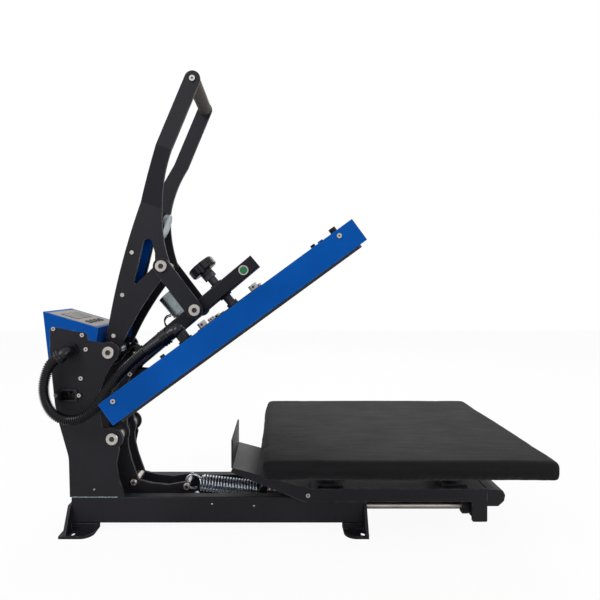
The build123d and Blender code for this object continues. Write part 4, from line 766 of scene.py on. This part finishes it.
bm = bmesh.new()
ribbed_ring(bm, ELBOW_MOUTH, ELBOW_AXIS, radius=0.0126, length=0.0138, count=3)
bmesh.ops.create_uvsphere(bm, u_segments=32, v_segments=20, radius=0.0118,
                          matrix=Matrix.Translation(ELBOW_BEND))
piece_from(bm, "elbow_ribs", "black_plastic", "heat_head")
bm = bmesh.new()
ribbed_ring(bm, GLAND_MOUTH, GLAND_AXIS, radius=0.0111, length=0.0088, count=2)
piece_from(bm, "gland_ribs", "black_plastic", "base")

# %% [markdown]
# ## Painted shade in the pivots' sockets
# The pivots end in round heads with a hexagon socket, which the solids have too. In a real socket little
# light reaches the bottom. A darker finish could be given to the solid's own bottom face, but a solid keeps
# one finish, so a thin dark hexagon of painted shade lies on the bottom of each. The list gives each pivot's
# x and z, and how far from the middle of the press its heads are seated.

# %% Painted shade on the bottoms of the pivots' sockets
SOCKET_BOTTOM = 0.00098
SOCKET_RADIUS = 0.0051
HEXAGON_THICKNESS = 0.0003
SOCKETS = {
    "base": [(-0.2921, 0.1607, 0.0635), (-0.2987, 0.31, 0.0635)],
    "handle": [(-0.2114, 0.4601, 0.0464)],
    "link_pair": [(-0.1525, 0.3824, 0.046)],
}


def hexagon(bm, place, sign, radius):
    """A thin hexagon that faces the near side of the press, -1, or the far one, 1."""
    made = bmesh.ops.create_cone(bm, cap_ends=True, segments=6, radius1=radius, radius2=radius,
                                 depth=HEXAGON_THICKNESS)
    bmesh.ops.transform(bm, matrix=place_on(place, (1, 0, 0), (0, sign, 0)), verts=made["verts"])


# Each dark hexagon is painted shade on a socket's bottom.
for body, heads in SOCKETS.items():
    bm = bmesh.new()
    for x, z, half in heads:
        for sign in (-1, 1):
            hexagon(bm, (x, sign * (half + SOCKET_BOTTOM), z), sign, SOCKET_RADIUS)
    piece_from(bm, body + "_sockets", "dark_steel", body, 30.0)

# %% [markdown]
# ## Weld bead and rail screws
# A weld runs along the foot of the near side plate, and two small domed screws sit in the rail. A straight
# round rod would look like trim, so the bead's radius swells and shrinks a little, as a hand-laid weld's
# does, and the wandering profile is spun on the lathe.

# %% Weld bead
BASE_SIDE = -0.0635
BEAD_RADIUS = 0.0009
BEAD_STEP = 0.0005
BEAD_STEPS = 160
bm = bmesh.new()
bead = [(0.0, 0.0)]
for step in range(BEAD_STEPS):
    swell = 0.0003 * noise.noise(Vector((step * 0.13, 5.0, 0.0))) + 0.0002 * math.cos(step * 1.3)
    bead.append((BEAD_RADIUS + swell, BEAD_STEP * (step + 1)))
bead.append((0.0, BEAD_STEP * (BEAD_STEPS + 2)))
turned_shape(bm, bead, place_on((-0.362, BASE_SIDE, 0.06), (0, 1, 0), (1, 0, 0)), 14)
piece_from(bm, "foot_weld", "zinc_steel", "base", 60.0)

# %% Rail screws
SCREW = [(0.0, 0.0009), (0.0008, 0.0008), (0.0014, 0.0005), (0.0017, 0.0), (0.0, 0.0)]
bm = bmesh.new()
for x, z in ((-0.1194, 0.0481), (-0.0468, 0.0447)):
    turned_shape(bm, SCREW, place_on((x, BASE_SIDE, z), (1, 0, 0), (0, -1, 0)), 20)
piece_from(bm, "rail_screws", "bright_steel", "base")

# %% [markdown]
# ## Painted shade in the screw heads' recesses
# The screws that face sideways have a drive recess that lies in shade, and a dark hexagon of painted shade
# stands in for it. Their places could be typed in, but the solids know them. In a solid's mesh every face is
# a loose part, so each loose part is boxed, and the ones that are as wide as they are high and lie far enough
# out are taken for round heads. The dark hexagon of painted shade is laid on the outer end of each. The list
# gives the body that each set rides on, and the distance from the middle of the press beyond which its heads
# lie.


# %% Painted shade in the screw heads' recesses
def loose_parts(mesh):
    """The lowest and highest corner of every loose part of a mesh."""
    bm = bmesh.new()
    bm.from_mesh(mesh)
    seen, boxes = set(), []
    for first in bm.verts:
        if first in seen:
            continue
        seen.add(first)
        part, found = [], [first]
        while found:
            vertex = found.pop()
            part.append(tuple(vertex.co))
            new = [e.other_vert(vertex) for e in vertex.link_edges if e.other_vert(vertex) not in seen]
            seen.update(new)
            found += new
        boxes.append([[pick(values) for values in zip(*part)] for pick in (min, max)])
    bm.free()
    return boxes


WIDEST_HEAD = 0.009
OUT_OF_ROUND = 0.0008
RECESS_SHADE_SHARE = 0.42
SCREWS = {
    "plate_screws": ("base", 0.06), "handle_screws": ("handle", 0.06), "drawer_screws": ("drawer", 0.06),
    "head_fasteners": ("heat_head", 0.06), "lever_bolts": ("upper_arm", 0.025),
}
for screws, (body, nearest) in SCREWS.items():
    bm = bmesh.new()
    for start, end in loose_parts(frame["nodes"][screws].data):
        width, height = end[0] - start[0], end[2] - start[2]
        radius, sign = min(width, height) / 2, 1 if end[1] + start[1] > 0 else -1
        round_head = abs(width - height) < OUT_OF_ROUND and radius < WIDEST_HEAD
        if round_head and max(abs(start[1]), abs(end[1])) > nearest:
            place = ((start[0] + end[0]) / 2, max(end[1], -start[1]) * sign, (start[2] + end[2]) / 2)
            # The dark hexagon is painted shade for the drive recess.
            hexagon(bm, place, sign, radius * RECESS_SHADE_SHARE)
    piece_from(bm, screws + "_recess_shade", "dark_steel", body, 30.0)

# %% [markdown]
# ## Window and keys on the control panel
# The sloping panel has a dark window and four rubber keys. They could be colours on the panel's face, but
# their edges catch the light, so each is a low plate with rounded corners. The panel is left plain: nothing
# is printed on it.

# %% The panel's window and keys
PANEL_ALONG = Vector((0.9597, 0, -0.2811))
PANEL_NORMAL = Vector((0.2811, 0, 0.9597))
panel_low, panel_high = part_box("control_panel")
panel_middle = (panel_low + panel_high) / 2
reach = max(vertex.co.dot(PANEL_NORMAL) for vertex in frame["nodes"]["control_panel"].data.vertices)
panel_face = panel_middle + PANEL_NORMAL * (reach - panel_middle.dot(PANEL_NORMAL))


def raised_plate(bm, centre, length, width, height, corner):
    """A flat plate with rounded corners that stands on the panel."""
    before = set(bm.verts)
    made = bmesh.ops.create_cube(bm, size=1.0)["verts"]
    bmesh.ops.scale(bm, vec=(length, width, height), verts=made)
    upright = [edge for edge in bm.edges if edge.verts[0] in made and not runs_flat(edge)]
    bmesh.ops.bevel(bm, geom=upright, offset=corner, segments=5, profile=0.5, affect="EDGES", material=-1)
    move_new(bm, before, place_on(centre, PANEL_ALONG, PANEL_NORMAL))


bm = bmesh.new()
raised_plate(bm, panel_face - PANEL_ALONG * 0.014, length=0.032, width=0.074, height=0.0012, corner=0.003)
piece_from(bm, "panel_window", "black_plastic", "base", 30.0)
bm = bmesh.new()
for across in (-0.03, -0.01, 0.01, 0.03):
    raised_plate(bm, panel_face + PANEL_ALONG * 0.021 + Vector((0, across, 0)),
                 length=0.012, width=0.014, height=0.002, corner=0.004)
piece_from(bm, "panel_keys", "black_rubber", "base", 30.0)

# %% [markdown]
# ## Light and backdrop
# The press stands on a plain pale floor before plain white. A room that bright would wash out the black
# coat, so the surround is white only to the camera and in clear and glossy surfaces, and lights the press
# at half that. Three soft area lamps do the rest. The key comes from the upper left, where the photograph's
# highlights on the grip and magnet lie.

# %% Light
SURROUND_LIGHT = 0.5
world = bpy.data.worlds.new("studio")
bpy.context.scene.world = world
world.use_nodes = True
studio = Nodes(world.node_tree)


def ray(kind):
    return studio.node("ShaderNodeLightPath", output=kind)


def either(first, second):
    return studio.node("ShaderNodeMath", {"operation": "MAXIMUM"}, {0: first, 1: second})


seen = either(either(ray("Is Camera Ray"), ray("Is Transmission Ray")), ray("Is Glossy Ray"))
background = studio.node_tree.nodes["Background"]
studio.feed(background.inputs["Color"], (1, 1, 1))
studio.feed(background.inputs["Strength"], SURROUND_LIGHT + seen * (1 - SURROUND_LIGHT))


def lamp(name, place, aim, size, power):
    light = bpy.data.lights.new(name, "AREA")
    light.shape, light.size, light.energy = "DISK", size, power
    made = add_object(name, light)
    made.location = place
    made.rotation_euler = (Vector(aim) - Vector(place)).to_track_quat("-Z", "Y").to_euler()


lamp("key", (-1.6, -1.8, 2.2), aim=(0, 0, 0.3), size=1.4, power=44)
lamp("fill", (1.9, -1.6, 1.0), aim=(0, 0, 0.3), size=1.6, power=20)
lamp("rim", (0.4, 1.8, 1.9), aim=(0, 0, 0.35), size=1.2, power=20)
print("lamps give", sum(light.energy for light in bpy.data.lights), "W")

# %% Floor
FLOOR_REACH = 4.0
FLOOR_GLOW = 0.94
bm = bmesh.new()
bmesh.ops.create_grid(bm, x_segments=2, y_segments=2, size=FLOOR_REACH)
mesh = bpy.data.meshes.new("floor")
bm.to_mesh(mesh)
bm.free()
floor = add_object("floor", mesh)
ground = Finish("floor", Base_Color=(0.86, 0.86, 0.86), Roughness=0.8)
glow = ground.node("ShaderNodeEmission", {}, {"Color": (1, 1, 1), "Strength": 1.0})
lit = Wire(ground, ground.shader.outputs[0])
share = ground.node("ShaderNodeLightPath", output="Is Camera Ray") * FLOOR_GLOW
surface = ground.node("ShaderNodeMixShader", {}, {0: share, 1: lit, 2: glow})
ground.feed(ground.node_tree.nodes["Material Output"].inputs["Surface"], surface)
floor.data.materials.append(ground.material)
bpy.context.scene.view_settings.view_transform = "Standard"
print("floor", floor.dimensions.x, "m wide")
